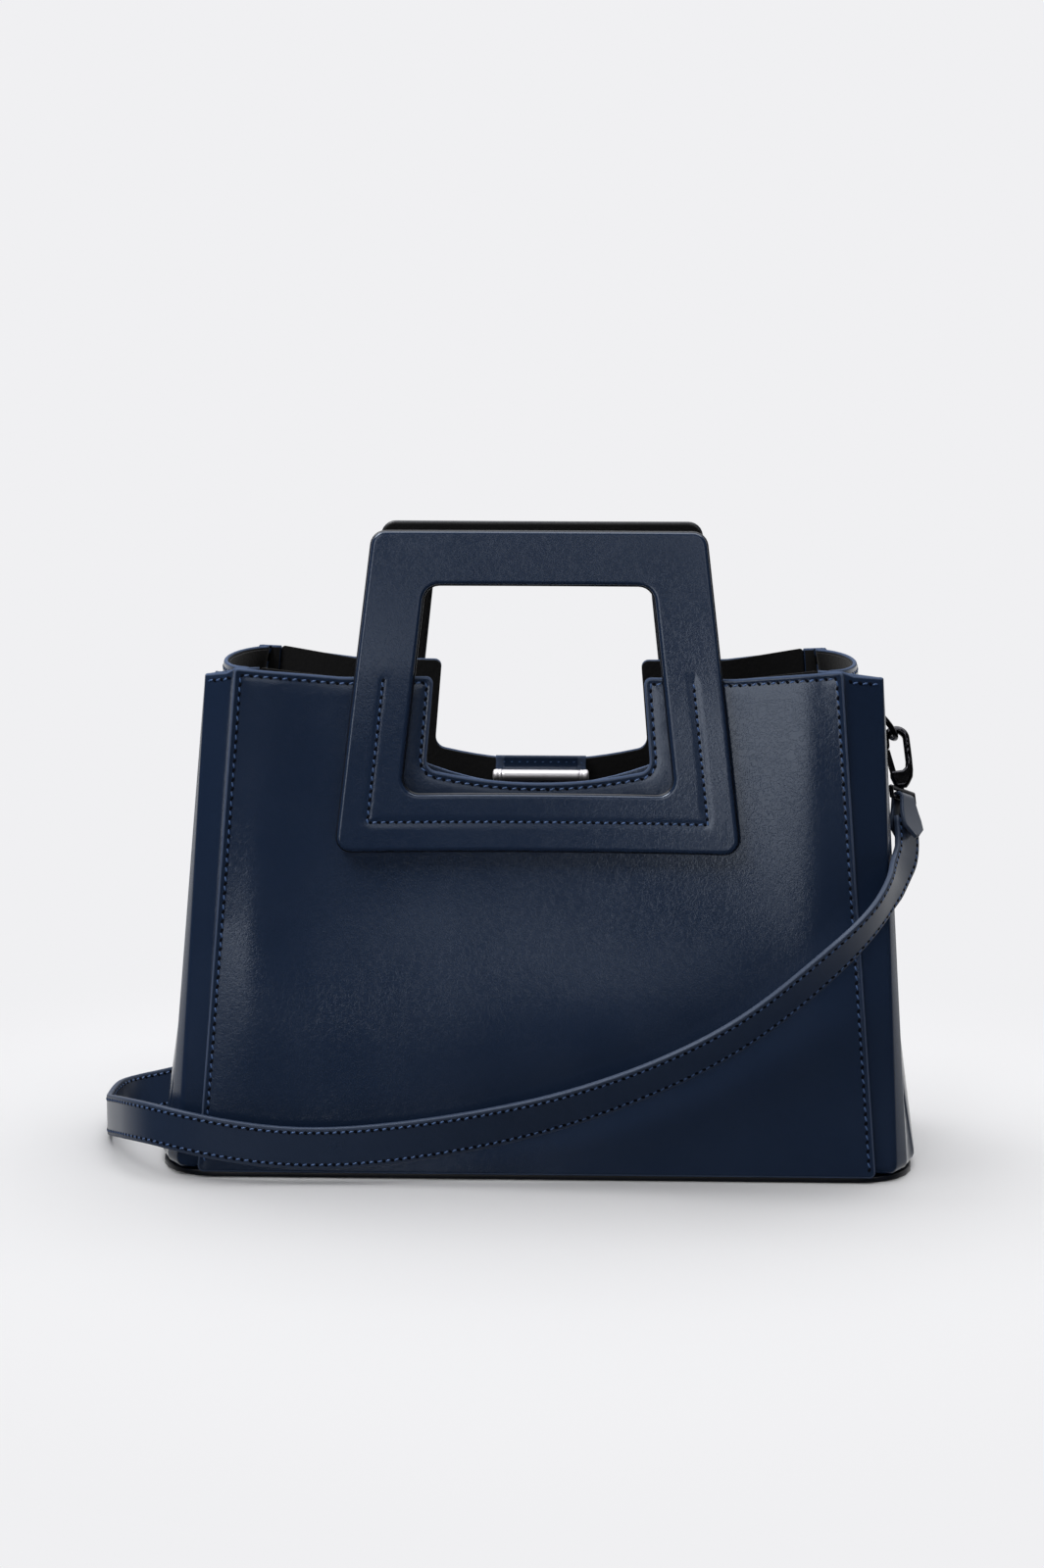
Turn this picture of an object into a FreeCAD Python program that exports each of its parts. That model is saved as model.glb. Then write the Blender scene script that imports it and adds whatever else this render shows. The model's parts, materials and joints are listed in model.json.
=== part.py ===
"""Structured leather top handle bag: two panels, winged gussets, a base, frame handles,
a closing tab with a metal bar, and a flat shoulder strap on two lobster clasps.
Millimetres, +Z up, the front towards -Y, the floor at Z 0 under the middle of the base."""
import FreeCAD, Part
import math
import os
from FreeCAD import Vector

os.makedirs("parts", exist_ok=True)

# Leathers, linings, the gaps between lapped pieces, how far cutters run past a piece,
# and how near an edge lies to the place it is picked by
panel_leather = 2.4
gusset_leather = 1.8
base_leather = 2.4
lining = 0.8
seam_gap = 0.3
overrun = 20.0
pick_reach = 0.1

# Panels: a straight foot, corners drawn forwards, and a flat middle that leans inwards and runs
# past the handle by its margins, at the panel's top edge and at the handle's foot
body_height = 216.0
panel_top_width = 252.0
panel_foot_width = 287.0
depth_foot = 114.0
depth_corners = 96.0
depth_mouth = 66.0
flat_top_margin = 6.25
flat_low_margin = 2.75
corner_bow_share = 0.37
top_dip = 4.5

# Cut-out in each panel, in heights along the panel above its foot
notch_top_width = 88.0
notch_foot_width = 94.6
notch_corner_height = 172.5
notch_sag = 5.5
notch_corner_radius = 5.0

# Gusset: a flange under the panel's edge, a wing beyond it, a nip and a bulge
flange_lap = 10.0
wing_top_reach = 14.0
wing_foot_reach = 8.5
wing_fold = 5.0
heel_foot_reach = 14.5
heel_foot_depth = 91.0
nip_top_inset = 6.0
nip_foot_reach = 19.0
nip_foot_depth = 64.0
bulge_top_reach = 5.5
bulge_depth = 38.0
side_top_reach = 10.0
side_foot_reach = 21.0
side_flat = 20.0

# Base and its board
base_inset = 1.2
base_corner_radius = 24.0
board = 2.0
board_gap = 0.6

# Handle frames
ring_low = 137.0
ring_tall = 134.0
ring_top_width = 138.6
ring_foot_width = 169.4
ring_top_bar = 22.0
ring_side_bar = 24.0
ring_foot_bar = 25.0
ring_corner_radius = 6.0
window_corner_radius = 7.0
handle_lining = 1.2
handle_core = 2.0
handle_facing = 1.8

# Strip behind the front cut-out
facing_leather = 1.4
facing_lap = 12.0
facing_depth = 18.0
facing_sag = 10.0
facing_rise = 4.0

# Closing tab and bar
tab_width = 40.0
tab_leather = 1.4
tab_drop = 1.5
tab_length = 8.0
tab_gap = 0.3
bar_radius = 2.5
bar_length = 34.6
cap_radius = 2.7
cap_length = 4.0
cap_round_share = 0.45
curl_gap = 0.05
curl_past_foot = 30.0

# Ring tabs and their rivets on the gussets' sides
ring_tab_height = 193.5
ring_tab_width = 14.0
ring_tab_leather = 1.6
ring_tab_rise = 14.0
ring_tab_gap = 0.1
pivot_gap = 0.05
rivet_rise = 8.0
rivet_radius = 1.2
rivet_head_radius = 3.2
rivet_head = 1.1

# D-rings
dring_wire_radius = 1.2
dring_half_width = 8.3
dring_leg = 8.0

# How each end hangs, in degrees: the ring tab turns on its rivet, the right one forwards
# and the left one back, the D-ring and hook lean outwards, and the eye turns in the hook
right_dring_lean = 41.0
right_hook_lean = 6.0
right_eye_turn = -32.0
right_tab_turn = -25.0
left_dring_lean = 8.0
left_hook_lean = 12.5
left_eye_turn = 0.0
left_tab_turn = 57.0

# Lobster hooks, in their own plane: across, and along the hook above its swivel
hook_thick = 4.6
hook_bar = 2.9
hook_hole_radius = 2.9
hook_arch_height = 21.4
hook_nose_height = 17.2
hook_body_height = 7.4
hook_shoulder_height = 4.4
hook_heel_half = 2.6
hook_rest_gap = 0.6
gate_pivot_across = -2.6
gate_pivot_height = 5.8
gate_tip_across = -4.4
gate_tip_gap = 0.35
gate_thick = 2.4
gate_half_width = 1.2
gate_lug_radius = 1.4
gate_slot_gap = 0.2
gate_slot_wall_across = -0.3
gate_pin_radius = 0.6
spring_room_radius = 1.05
spring_room = 1.0
spring_radius = 0.95
spring_width = 0.8
swivel_radius = 1.0
swivel_head_radius = 1.55
swivel_head = 1.5
swivel_neck = 1.6
swivel_gap = 0.05

# Swivel eyes and the strap's leather ends
eye_wire_radius = 1.0
eye_half_width = 9.6
eye_height = 4.0
eye_drop = 1.3
strap_end_leather = 1.6
strap_end_width = 16.0
strap_end_length = 17.5
strap_end_point = 5.0
strap_end_gap = 0.1

# Shoulder strap: its band, and along each run the points of its middle line,
# each with the way that its width points there
strap_width = 18.0
strap_thick = 2.4
arc_share = 0.45
arc_steps = 4
upright = (0, 0, 1)
strap_front_route = [
    ((155.72, -24.55, 150.68), (-0.574, -0.762, 0.299)),
    ((156.87, -29.83, 139.41), (-0.574, -0.762, 0.299)),
    ((152, -40.5, 131), (-0.46, -0.8, 0.38)),
    ((147.8, -52, 125), (-0.3, -0.78, 0.55)),
    ((140.8, -62.5, 116.5), (-0.2, -0.68, 0.7)),
    ((131, -67.4, 106.7), (-0.1, -0.6, 0.79)),
    ((119, -67.5, 95.2), (0, -0.56, 0.83)),
    ((103, -65.5, 80.1), (0, -0.55, 0.84)),
    ((84.2, -64.5, 65.6), (0, -0.53, 0.85)),
    ((62.8, -64, 53.3), (0, -0.5, 0.87)),
    ((38, -64, 42.2), (0, -0.45, 0.89)),
    ((9, -64, 31.9), (0, -0.35, 0.94)),
    ((-21, -63.7, 24.4), (0, -0.22, 0.98)),
    ((-48, -64, 19.5), (0, -0.1, 1)),
    ((-72, -64.5, 16.5), upright),
    ((-92, -65, 15.5), upright),
    ((-112, -65.4, 16.3), upright),
    ((-133, -65, 19.1), upright),
    ((-150, -62.5, 22), upright),
    ((-163.5, -54.8, 22.9), upright),
    ((-174.2, -42, 21), upright),
    ((-182.3, -25.5, 17.4), upright),
    ((-188.6, -9, 13.2), upright),
    ((-191, 4.5, 10), upright),
    ((-191, 12, 10), upright),
]
strap_back_route = [
    ((-148.44, 50.88, 169.5), (0.111, 0.545, 0.831)),
    ((-150.47, 61.74, 162.65), (0.111, 0.545, 0.831)),
    ((-148.5, 71, 154), (0.05, 0.4, 0.9)),
    ((-138.5, 75, 143.5), upright),
    ((-119.5, 75.5, 130), upright),
    ((-92, 71, 110.5), upright),
    ((-61, 67, 88.5), upright),
    ((-31, 66, 67.5), upright),
    ((-1, 67.5, 48.5), upright),
    ((27, 72, 32.5), upright),
    ((51, 80, 20), upright),
    ((71, 92, 12.5), upright),
    ((86, 108, 10), upright),
    ((92, 128.5, 9.8), upright),
    ((85, 148, 9.8), upright),
    ((68, 160.5, 9.8), upright),
    ((44, 164, 9.8), upright),
    ((14, 160, 9.8), upright),
    ((-18, 151.5, 9.8), upright),
    ((-50, 140.5, 9.8), upright),
    ((-81, 127, 9.8), upright),
    ((-109, 111, 9.8), upright),
    ((-133.5, 91, 9.8), upright),
    ((-154.5, 69.5, 9.4), (-0.2, 0.15, 1)),
    ((-171, 52.5, 9), (-0.35, 0.26, 0.9)),
    ((-181.5, 42.5, 9), (-0.35, 0.26, 0.9)),
    ((-188.2, 32, 9.5), (-0.2, 0.1, 0.97)),
    ((-191, 19.5, 10), upright),
    ((-191, 12, 10), upright),
]


def vec(x, y, z):
    return Vector(x, y, z)


def save(shape, node):
    if not shape.isValid() or shape.ShapeType == "Compound" and not shape.Solids:
        raise ValueError(node + " is not a sound solid")
    shape.exportStep("parts/" + node + ".step")
    print(node, len(shape.Solids), round(shape.Volume, 1))


def prism(points, low, high):
    """A solid with the outline points (across, up), from y low to y high."""
    corners = [vec(x, low, z) for x, z in points]
    wire = Part.makePolygon(corners + corners[:1])
    return Part.Face(wire).extrude(vec(0, high - low, 0))


def round_upright(solid, radius, places):
    """Rounds those edges along Y that pass through the places (across, up)."""
    picked = []
    for edge in solid.Edges:
        start, end = edge.Vertexes[0].Point, edge.Vertexes[-1].Point
        along_y = math.hypot(end.x - start.x, end.z - start.z) < pick_reach
        if along_y and any(math.hypot(start.x - x, start.z - z) < pick_reach for x, z in places):
            picked.append(edge)
    return solid.makeFillet(radius, picked)


def mirror_back(shape):
    return shape.mirror(vec(0, 0, 0), vec(0, 1, 0))


def mirror_left(shape):
    return shape.mirror(vec(0, 0, 0), vec(1, 0, 0))


# Panels

half_foot = panel_foot_width / 2
half_top = panel_top_width / 2
foot_y = -depth_foot / 2
corner_y = -depth_corners / 2
mouth_y = -depth_mouth / 2
panel_rise = body_height - base_leather
lean = math.degrees(math.atan2(mouth_y - foot_y, panel_rise))
panel_length = math.hypot(mouth_y - foot_y, panel_rise)
ring_slant = (ring_foot_width - ring_top_width) / 2 / ring_tall
flat_low = ring_foot_width / 2 + flat_low_margin
flat_top = ring_foot_width / 2 - ring_slant * (panel_length - ring_low) + flat_top_margin
flat_foot = flat_top + (flat_low - flat_top) * panel_length / (panel_length - ring_low)


def on_front(shape):
    """Sets a piece made against the plane y 0, its heights from z 0, on the front's middle."""
    placed = shape.copy()
    placed.rotate(vec(0, 0, 0), vec(1, 0, 0), -lean)
    placed.translate(vec(0, foot_y, base_leather))
    return placed


def top_curve_y(across):
    """The front panel's outer face at its top edge, beyond the flat middle."""
    share = (abs(across) - flat_top) / (half_top - flat_top)
    bow = corner_bow_share * share + (1 - corner_bow_share) * share ** 2
    return mouth_y + (corner_y - mouth_y) * bow


def wall(start, thick):
    """A sheet of the front panel's shape, from start inwards of its outer face."""
    def foot_line(y):
        places = [-half_foot, -flat_foot, flat_foot, half_foot]
        return [vec(x, foot_y + y, base_leather) for x in places]

    def top_point(x, y):
        return vec(x, top_curve_y(x) + y, body_height)

    def top_edges(y):
        half_way = (half_top + flat_top) / 2
        left = Part.Arc(top_point(-half_top, y), top_point(-half_way, y), top_point(-flat_top, y))
        middle = Part.LineSegment(top_point(-flat_top, y), top_point(flat_top, y))
        right = Part.Arc(top_point(flat_top, y), top_point(half_way, y), top_point(half_top, y))
        return [part.toShape() for part in (left, middle, right)]

    outer = foot_line(start)
    inner = foot_line(start + thick)
    foot = Part.makePolygon(outer + inner[::-1] + outer[:1])
    near, far = top_edges(start), top_edges(start + thick)
    corners = (half_top, -half_top)
    ends = [Part.makeLine(top_point(x, start), top_point(x, start + thick)) for x in corners]
    top = Part.Wire(Part.__sortEdges__(near + [ends[0]] + far[::-1] + [ends[1]]))
    return Part.makeLoft([foot, top], True, True)


def mouth_cut():
    """What is cut from a panel: the dip of its top edge and the cut-out below it."""
    brim = body_height - top_dip
    corner = base_leather + notch_corner_height
    half_brim, half_bottom = notch_top_width / 2, notch_foot_width / 2
    left = [(-half_top, body_height), (-flat_top, brim), (-half_brim, brim), (-half_bottom, corner)]
    right = [(-x, z) for x, z in left[::-1]]
    sky = [(half_top, body_height + overrun), (-half_top, body_height + overrun)]
    low, high = 2 * foot_y, 0
    down, up = [vec(x, low, z) for x, z in left], [vec(x, low, z) for x, z in right + sky + left[:1]]
    sides = [Part.makeLine(a, b) for a, b in zip(down, down[1:])]
    sides += [Part.Arc(down[-1], vec(0, low, corner - notch_sag), up[0]).toShape()]
    sides += [Part.makeLine(a, b) for a, b in zip(up, up[1:])]
    solid = Part.Face(Part.Wire(sides)).extrude(vec(0, high - low, 0))
    return round_upright(solid, notch_corner_radius, [(-half_bottom, corner), (half_bottom, corner)])


opening = mouth_cut()
front_panel = wall(0, panel_leather).cut(opening)

lining_margin = flange_lap + seam_gap
lining_field = prism(
    [
        (-half_foot + lining_margin, base_leather),
        (half_foot - lining_margin, base_leather),
        (half_top - lining_margin, body_height),
        (-half_top + lining_margin, body_height),
    ],
    2 * foot_y,
    0,
)
front_lining = wall(panel_leather, lining).cut(opening).common(lining_field)

# Gussets


def offset_line(points, distance):
    """The open line of points (x, y) moved to its left by distance, with mitred corners."""
    def left_of(a, b):
        length = math.hypot(b[0] - a[0], b[1] - a[1])
        return ((a[1] - b[1]) / length, (b[0] - a[0]) / length)

    normals = [left_of(a, b) for a, b in zip(points, points[1:])]
    moved = []
    for i, (x, y) in enumerate(points):
        before = normals[max(i - 1, 0)]
        after = normals[min(i, len(normals) - 1)]
        spread = 1 + before[0] * after[0] + before[1] * after[1]
        moved.append((
            x + distance * (before[0] + after[0]) / spread,
            y + distance * (before[1] + after[1]) / spread,
        ))
    return moved


def whole_line(front_half):
    return front_half + [(x, -y) for x, y in front_half[::-1]]


flange_y = panel_leather + seam_gap
top_flange_end = top_curve_y(half_top - flange_lap) + flange_y
top_flange_y = corner_y + flange_y
wing_top = [
    (half_top - flange_lap, top_flange_end),
    (half_top, top_flange_y),
    (half_top + wing_top_reach, top_flange_y),
    (half_top + wing_top_reach, top_flange_y + wing_fold),
]
side_top = [
    (half_top - nip_top_inset, top_flange_end + 2 * gusset_leather + 2 * seam_gap),
    (half_top + bulge_top_reach, -bulge_depth / 2),
    (half_top + side_top_reach, -side_flat / 2),
]
wing_foot = [
    (half_foot - flange_lap, foot_y + flange_y),
    (half_foot, foot_y + flange_y),
    (half_foot + wing_foot_reach, foot_y + flange_y + seam_gap),
    (half_foot + heel_foot_reach, -heel_foot_depth / 2),
]
side_foot = [
    (half_foot + nip_foot_reach, -nip_foot_depth / 2),
    (half_foot + (nip_foot_reach + side_foot_reach) / 2, -bulge_depth / 2),
    (half_foot + side_foot_reach, -side_flat / 2),
]
gusset_top = whole_line(wing_top + side_top)
gusset_foot = whole_line(wing_foot + side_foot)


def side_sheet(start, thick, first):
    """A sheet of the right gusset's shape, from start inwards, less the first points at each end."""
    def ring(line, height):
        last = len(line) - first
        outer = offset_line(line, start)[first:last]
        inner = offset_line(line, start + thick)[first:last]
        corners = [vec(x, y, height) for x, y in outer + inner[::-1]]
        return Part.makePolygon(corners + corners[:1])

    return Part.makeLoft([ring(gusset_foot, base_leather), ring(gusset_top, body_height)], True, True)


side_foot_x = half_foot + side_foot_reach
side_top_x = half_top + side_top_reach
side_lean = math.degrees(math.atan2(side_foot_x - side_top_x, panel_rise))


def side_x(height):
    return side_foot_x + (side_top_x - side_foot_x) * (height - base_leather) / panel_rise


def on_side(shape):
    """Sets a piece made against the plane x 0, its heights from the ring tab's loop, on the right side."""
    placed = shape.copy()
    placed.rotate(vec(0, 0, 0), vec(0, 1, 0), -side_lean)
    placed.translate(vec(side_x(ring_tab_height), 0, ring_tab_height))
    return placed


# Ring tab: a strip folded round the D-ring's bar, riveted through the gusset

loop_hole = dring_wire_radius + pivot_gap
loop_radius = loop_hole + ring_tab_leather
loop_out = loop_radius + ring_tab_gap
tab_half = ring_tab_width / 2


def along_y(radius, half, x, z):
    return Part.makeCylinder(radius, 2 * half, vec(x, -half, z), vec(0, 1, 0))


rivet_shaft_length = ring_tab_gap + 2 * ring_tab_leather + gusset_leather + lining
rivet_start = -gusset_leather - lining
rivet_foot = vec(rivet_start, 0, rivet_rise)
rivet_shaft = Part.makeCylinder(rivet_radius, rivet_shaft_length, rivet_foot, vec(1, 0, 0))
rivet_end = rivet_start + rivet_shaft_length
head_ball_radius = (rivet_head_radius ** 2 + rivet_head ** 2) / (2 * rivet_head)
rivet_dome = Part.makeSphere(head_ball_radius, vec(rivet_end + rivet_head - head_ball_radius, 0, rivet_rise))
rivet_dome = rivet_dome.common(
    Part.makeCylinder(head_ball_radius, overrun, vec(rivet_end, 0, rivet_rise), vec(1, 0, 0))
)
rivet_cap = Part.makeCylinder(
    rivet_head_radius, rivet_head, vec(rivet_start - rivet_head, 0, rivet_rise), vec(1, 0, 0)
)
tab_rivet = rivet_shaft.fuse([rivet_dome, rivet_cap]).removeSplitter()

ring_tab = Part.makeBox(2 * ring_tab_leather, ring_tab_width, ring_tab_rise, vec(ring_tab_gap, -tab_half, 0))
ring_tab = ring_tab.fuse(along_y(loop_radius, tab_half, loop_out, 0))
ring_tab = ring_tab.cut(along_y(loop_hole, tab_half + overrun, loop_out, 0))
ring_tab = ring_tab.cut(rivet_shaft).removeSplitter()

right_gusset = side_sheet(0, gusset_leather, 0).cut(on_side(rivet_shaft))
right_gusset_lining = side_sheet(gusset_leather, lining, len(wing_foot)).cut(on_side(rivet_shaft))

# Base panel under the walls, and the board that lies on it

base_half_length = side_foot_x - base_inset
base_half_depth = depth_foot / 2 - base_inset
board_inset = panel_leather + seam_gap + gusset_leather + board_gap


def rounded_plate(half_length, half_depth, low, thick, radius):
    plate = Part.makeBox(2 * half_length, 2 * half_depth, thick, vec(-half_length, -half_depth, low))
    corners = [edge for edge in plate.Edges if edge.BoundBox.ZLength > thick / 2]
    return plate.makeFillet(radius, corners)


base_panel = rounded_plate(base_half_length, base_half_depth, 0, base_leather, base_corner_radius)
base_board = rounded_plate(
    side_foot_x - board_inset,
    depth_foot / 2 - board_inset,
    base_leather,
    board,
    base_corner_radius,
)

# Handle frames: a lining against the panel, a stiff core and a facing outside


def ring_layer(low, thick):
    """One layer of a handle frame, from low outwards of the panel."""
    half_low, half_high = ring_foot_width / 2, ring_top_width / 2
    outline = [(-half_low, ring_low), (half_low, ring_low)]
    outline += [(half_high, ring_low + ring_tall), (-half_high, ring_low + ring_tall)]
    near, far = -low - thick, -low
    body = round_upright(prism(outline, near, far), ring_corner_radius, outline)
    window_low, window_high = ring_low + ring_foot_bar, ring_low + ring_tall - ring_top_bar
    window_half_low = half_low - ring_slant * ring_foot_bar - ring_side_bar
    window_half_high = half_high + ring_slant * ring_top_bar - ring_side_bar
    window = [(-window_half_low, window_low), (window_half_low, window_low)]
    window += [(window_half_high, window_high), (-window_half_high, window_high)]
    hole = round_upright(prism(window, near - overrun, far + overrun), window_corner_radius, window)
    return on_front(body.cut(hole))


handle_layers = {
    "lining": ring_layer(0, handle_lining),
    "core": ring_layer(handle_lining, handle_core),
    "facing": ring_layer(handle_lining + handle_core, handle_facing),
}

# Strip behind the front cut-out, its top edge sagging more than the cut-out's

facing_half = notch_foot_width / 2 + facing_lap
facing_top = notch_corner_height + facing_rise
facing_low = notch_corner_height - facing_depth
facing_start = panel_leather + lining
facing_line = [
    Part.makeLine(vec(-facing_half, facing_start, facing_top), vec(-facing_half, facing_start, facing_low)),
    Part.makeLine(vec(-facing_half, facing_start, facing_low), vec(facing_half, facing_start, facing_low)),
    Part.makeLine(vec(facing_half, facing_start, facing_low), vec(facing_half, facing_start, facing_top)),
    Part.Arc(
        vec(facing_half, facing_start, facing_top),
        vec(0, facing_start, facing_top - facing_sag),
        vec(-facing_half, facing_start, facing_top),
    ).toShape(),
]
notch_facing = on_front(Part.Face(Part.Wire(facing_line)).extrude(vec(0, facing_leather, 0)))

# Closing tab: sewn at its top edge inside the back, its end curled round a bar

tab_top = notch_corner_height - notch_sag - tab_drop
tab_start = panel_leather + lining + tab_gap
curl_hole = cap_radius + curl_gap
curl_radius = curl_hole + tab_leather
bar_y = tab_start + curl_radius
bar_height = tab_top - tab_length


def across(radius, half, y, z):
    return Part.makeCylinder(radius, 2 * half, vec(-half, y, z), vec(1, 0, 0))


tab_strip = Part.makeBox(tab_width, tab_leather, tab_length, vec(-tab_width / 2, tab_start, bar_height))
curl = across(curl_radius, tab_width / 2, bar_y, bar_height)
curl = curl.cut(across(curl_hole, tab_width, bar_y, bar_height))
curl_corner = vec(-tab_width / 2, bar_y - curl_radius, bar_height - curl_radius)
curl_box = Part.makeBox(tab_width, 2 * curl_radius, curl_radius, curl_corner)
open_corner = vec(-tab_width / 2, 0, -2 * curl_radius)
curl_open = Part.makeBox(tab_width, 2 * curl_radius, 2 * curl_radius, open_corner)
curl_open.rotate(vec(0, 0, 0), vec(1, 0, 0), curl_past_foot)
curl_open.translate(vec(0, bar_y, bar_height))
closure_tab = tab_strip.fuse(curl.common(curl_box).cut(curl_open)).removeSplitter()
closure_bar = across(bar_radius, bar_length / 2, bar_y, bar_height)
cap = Part.makeCylinder(cap_radius, cap_length, vec(bar_length / 2, bar_y, bar_height), vec(1, 0, 0))
cap_rims = [edge for edge in cap.Edges if edge.CenterOfMass.x > bar_length / 2 + cap_length - pick_reach]
cap = cap.makeFillet(cap_radius * cap_round_share, cap_rims)
closure_caps = Part.makeCompound([cap, mirror_left(cap)])
closure = {"closure_tab": closure_tab, "closure_bar": closure_bar, "closure_caps": closure_caps}

# D-ring, hanging from the ring tab and leaning out under the strap's pull

dring_reach = dring_leg + dring_half_width
dring = along_y(dring_wire_radius, dring_half_width, 0, 0)
for end in (-dring_half_width, dring_half_width):
    dring = dring.fuse(Part.makeSphere(dring_wire_radius, vec(0, end, 0)))
    dring = dring.fuse(Part.makeCylinder(dring_wire_radius, dring_leg, vec(0, end, -dring_leg), vec(0, 0, 1)))
bow = Part.makeTorus(dring_half_width, dring_wire_radius, vec(0, 0, -dring_leg), vec(1, 0, 0))
below_corner = vec(-dring_reach, -2 * dring_reach, -dring_leg - 2 * dring_reach)
below = Part.makeBox(2 * dring_reach, 4 * dring_reach, 2 * dring_reach, below_corner)
dring = dring.fuse(bow.common(below)).removeSplitter()

side_cos, side_sin = math.cos(math.radians(side_lean)), math.sin(math.radians(side_lean))
pivot = vec(side_x(ring_tab_height) + loop_out * side_cos, 0, ring_tab_height + loop_out * side_sin)


def place(shape, degrees, at):
    """Leans a piece outwards about its own y axis and moves its origin to a point."""
    placed = shape.copy()
    placed.rotate(vec(0, 0, 0), vec(0, 1, 0), -degrees)
    placed.translate(at)
    return placed


def lean_point(x, z, degrees, at):
    turn = math.radians(degrees)
    return vec(
        at.x + x * math.cos(turn) - z * math.sin(turn), at.y, at.z + x * math.sin(turn) + z * math.cos(turn)
    )


# Lobster hook: an arch over the D-ring's bow, a spine outside, a body with the gate and the swivel

hook_half = hook_hole_radius + hook_bar
half_thick = hook_thick / 2
arch = along_y(hook_half, half_thick, 0, hook_arch_height).cut(
    along_y(hook_hole_radius, half_thick + overrun, 0, hook_arch_height)
)
above_nose = prism(
    [
        (-hook_half, hook_arch_height),
        (hook_half, hook_arch_height),
        (hook_half, hook_arch_height + hook_half),
        (-hook_half, hook_arch_height + hook_half),
    ],
    -half_thick,
    half_thick,
)
nose = Part.makeBox(
    hook_bar, hook_thick, hook_arch_height - hook_nose_height, vec(-hook_half, -half_thick, hook_nose_height)
)
spine = Part.makeBox(
    hook_bar,
    hook_thick,
    hook_arch_height - hook_shoulder_height,
    vec(hook_hole_radius, -half_thick, hook_shoulder_height),
)
cheek_across = gate_pivot_across - gate_lug_radius - gate_slot_gap
hook_body = prism(
    [
        (-hook_heel_half, 0),
        (hook_heel_half, 0),
        (hook_half, hook_shoulder_height),
        (hook_half, hook_body_height),
        (cheek_across, hook_body_height),
        (cheek_across, hook_shoulder_height),
    ],
    -half_thick,
    half_thick,
)
gate_slot_half = gate_thick / 2 + gate_slot_gap
gate_slot_low = gate_pivot_height - gate_lug_radius - gate_slot_gap
gate_slot = Part.makeBox(
    gate_slot_wall_across - cheek_across + overrun,
    2 * gate_slot_half,
    overrun,
    vec(cheek_across - overrun, -gate_slot_half, gate_slot_low),
)
swivel_room = Part.makeCylinder(swivel_radius + swivel_gap, swivel_neck, vec(0, 0, 0), vec(0, 0, 1)).fuse(
    Part.makeCylinder(
        swivel_head_radius + swivel_gap, swivel_head + 2 * swivel_gap, vec(0, 0, swivel_neck), vec(0, 0, 1)
    )
)
gate_pin = along_y(gate_pin_radius, half_thick, gate_pivot_across, gate_pivot_height)
hook = hook_body.cut(gate_slot).fuse([arch.common(above_nose), nose, spine]).removeSplitter()
hook = hook.cut(swivel_room).cut(gate_pin)

# Gate: a lever on a pin through the body's cheeks, with a coil spring in its lug

gate_tip_height = hook_nose_height - gate_tip_gap
gate_half = gate_thick / 2
gate = prism(
    [
        (gate_pivot_across - gate_half_width, gate_pivot_height),
        (gate_pivot_across + gate_half_width, gate_pivot_height),
        (gate_tip_across + gate_half_width, gate_tip_height),
        (gate_tip_across - gate_half_width, gate_tip_height),
    ],
    -gate_half,
    gate_half,
)
gate = gate.fuse(along_y(gate_lug_radius, gate_half, gate_pivot_across, gate_pivot_height)).removeSplitter()
gate = gate.cut(along_y(gate_pin_radius + pivot_gap, gate_thick, gate_pivot_across, gate_pivot_height))
gate = gate.cut(along_y(spring_room_radius, spring_room / 2, gate_pivot_across, gate_pivot_height))
gate_spring = along_y(spring_radius, spring_width / 2, gate_pivot_across, gate_pivot_height)
gate_spring = gate_spring.cut(
    along_y(gate_pin_radius + pivot_gap, spring_width, gate_pivot_across, gate_pivot_height)
)

# Swivel eye: a headed stem in the hook's body and an oblong loop below it

eye_top = -eye_drop
eye_low = eye_top - eye_height
swivel_eye = Part.makeCylinder(
    swivel_radius, swivel_neck + swivel_gap - eye_top, vec(0, 0, eye_top), vec(0, 0, 1)
)
swivel_eye = swivel_eye.fuse(
    Part.makeCylinder(swivel_head_radius, swivel_head, vec(0, 0, swivel_neck + swivel_gap), vec(0, 0, 1))
)
for height in (eye_top, eye_low):
    swivel_eye = swivel_eye.fuse(along_y(eye_wire_radius, eye_half_width, 0, height))
for end in (-eye_half_width, eye_half_width):
    swivel_eye = swivel_eye.fuse(
        Part.makeCylinder(eye_wire_radius, eye_height, vec(0, end, eye_low), vec(0, 0, 1))
    )
    for height in (eye_top, eye_low):
        swivel_eye = swivel_eye.fuse(Part.makeSphere(eye_wire_radius, vec(0, end, height)))
swivel_eye = swivel_eye.removeSplitter()

# Strap end: a strip folded round the eye's lower bar, its two flaps either side of the strap

end_hole = eye_wire_radius + strap_end_gap
flap_inner = strap_thick / 2 + strap_end_gap
flap_outer = flap_inner + strap_end_leather
end_half = strap_end_width / 2
end_low = eye_low - strap_end_length
flap_outline = [
    vec(0, -end_half, eye_low),
    vec(0, end_half, eye_low),
    vec(0, end_half, end_low + strap_end_point),
    vec(0, 0, end_low),
    vec(0, -end_half, end_low + strap_end_point),
]
flap_face = Part.Face(Part.makePolygon(flap_outline + flap_outline[:1]))
strap_end = along_y(flap_outer, end_half, 0, eye_low)
for start in (flap_inner, -flap_outer):
    flap = flap_face.extrude(vec(strap_end_leather, 0, 0))
    flap.translate(vec(start, 0, 0))
    strap_end = strap_end.fuse(flap)
strap_end = strap_end.cut(along_y(end_hole, overrun, 0, eye_low)).removeSplitter()
strap_room_low = end_low - overrun
strap_room_corner = vec(-flap_inner, -strap_end_width, strap_room_low)
strap_room_height = eye_low - flap_outer - strap_room_low
strap_room = Part.makeBox(2 * flap_inner, 2 * strap_end_width, strap_room_height, strap_room_corner)
strap_end = strap_end.cut(strap_room)

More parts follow.
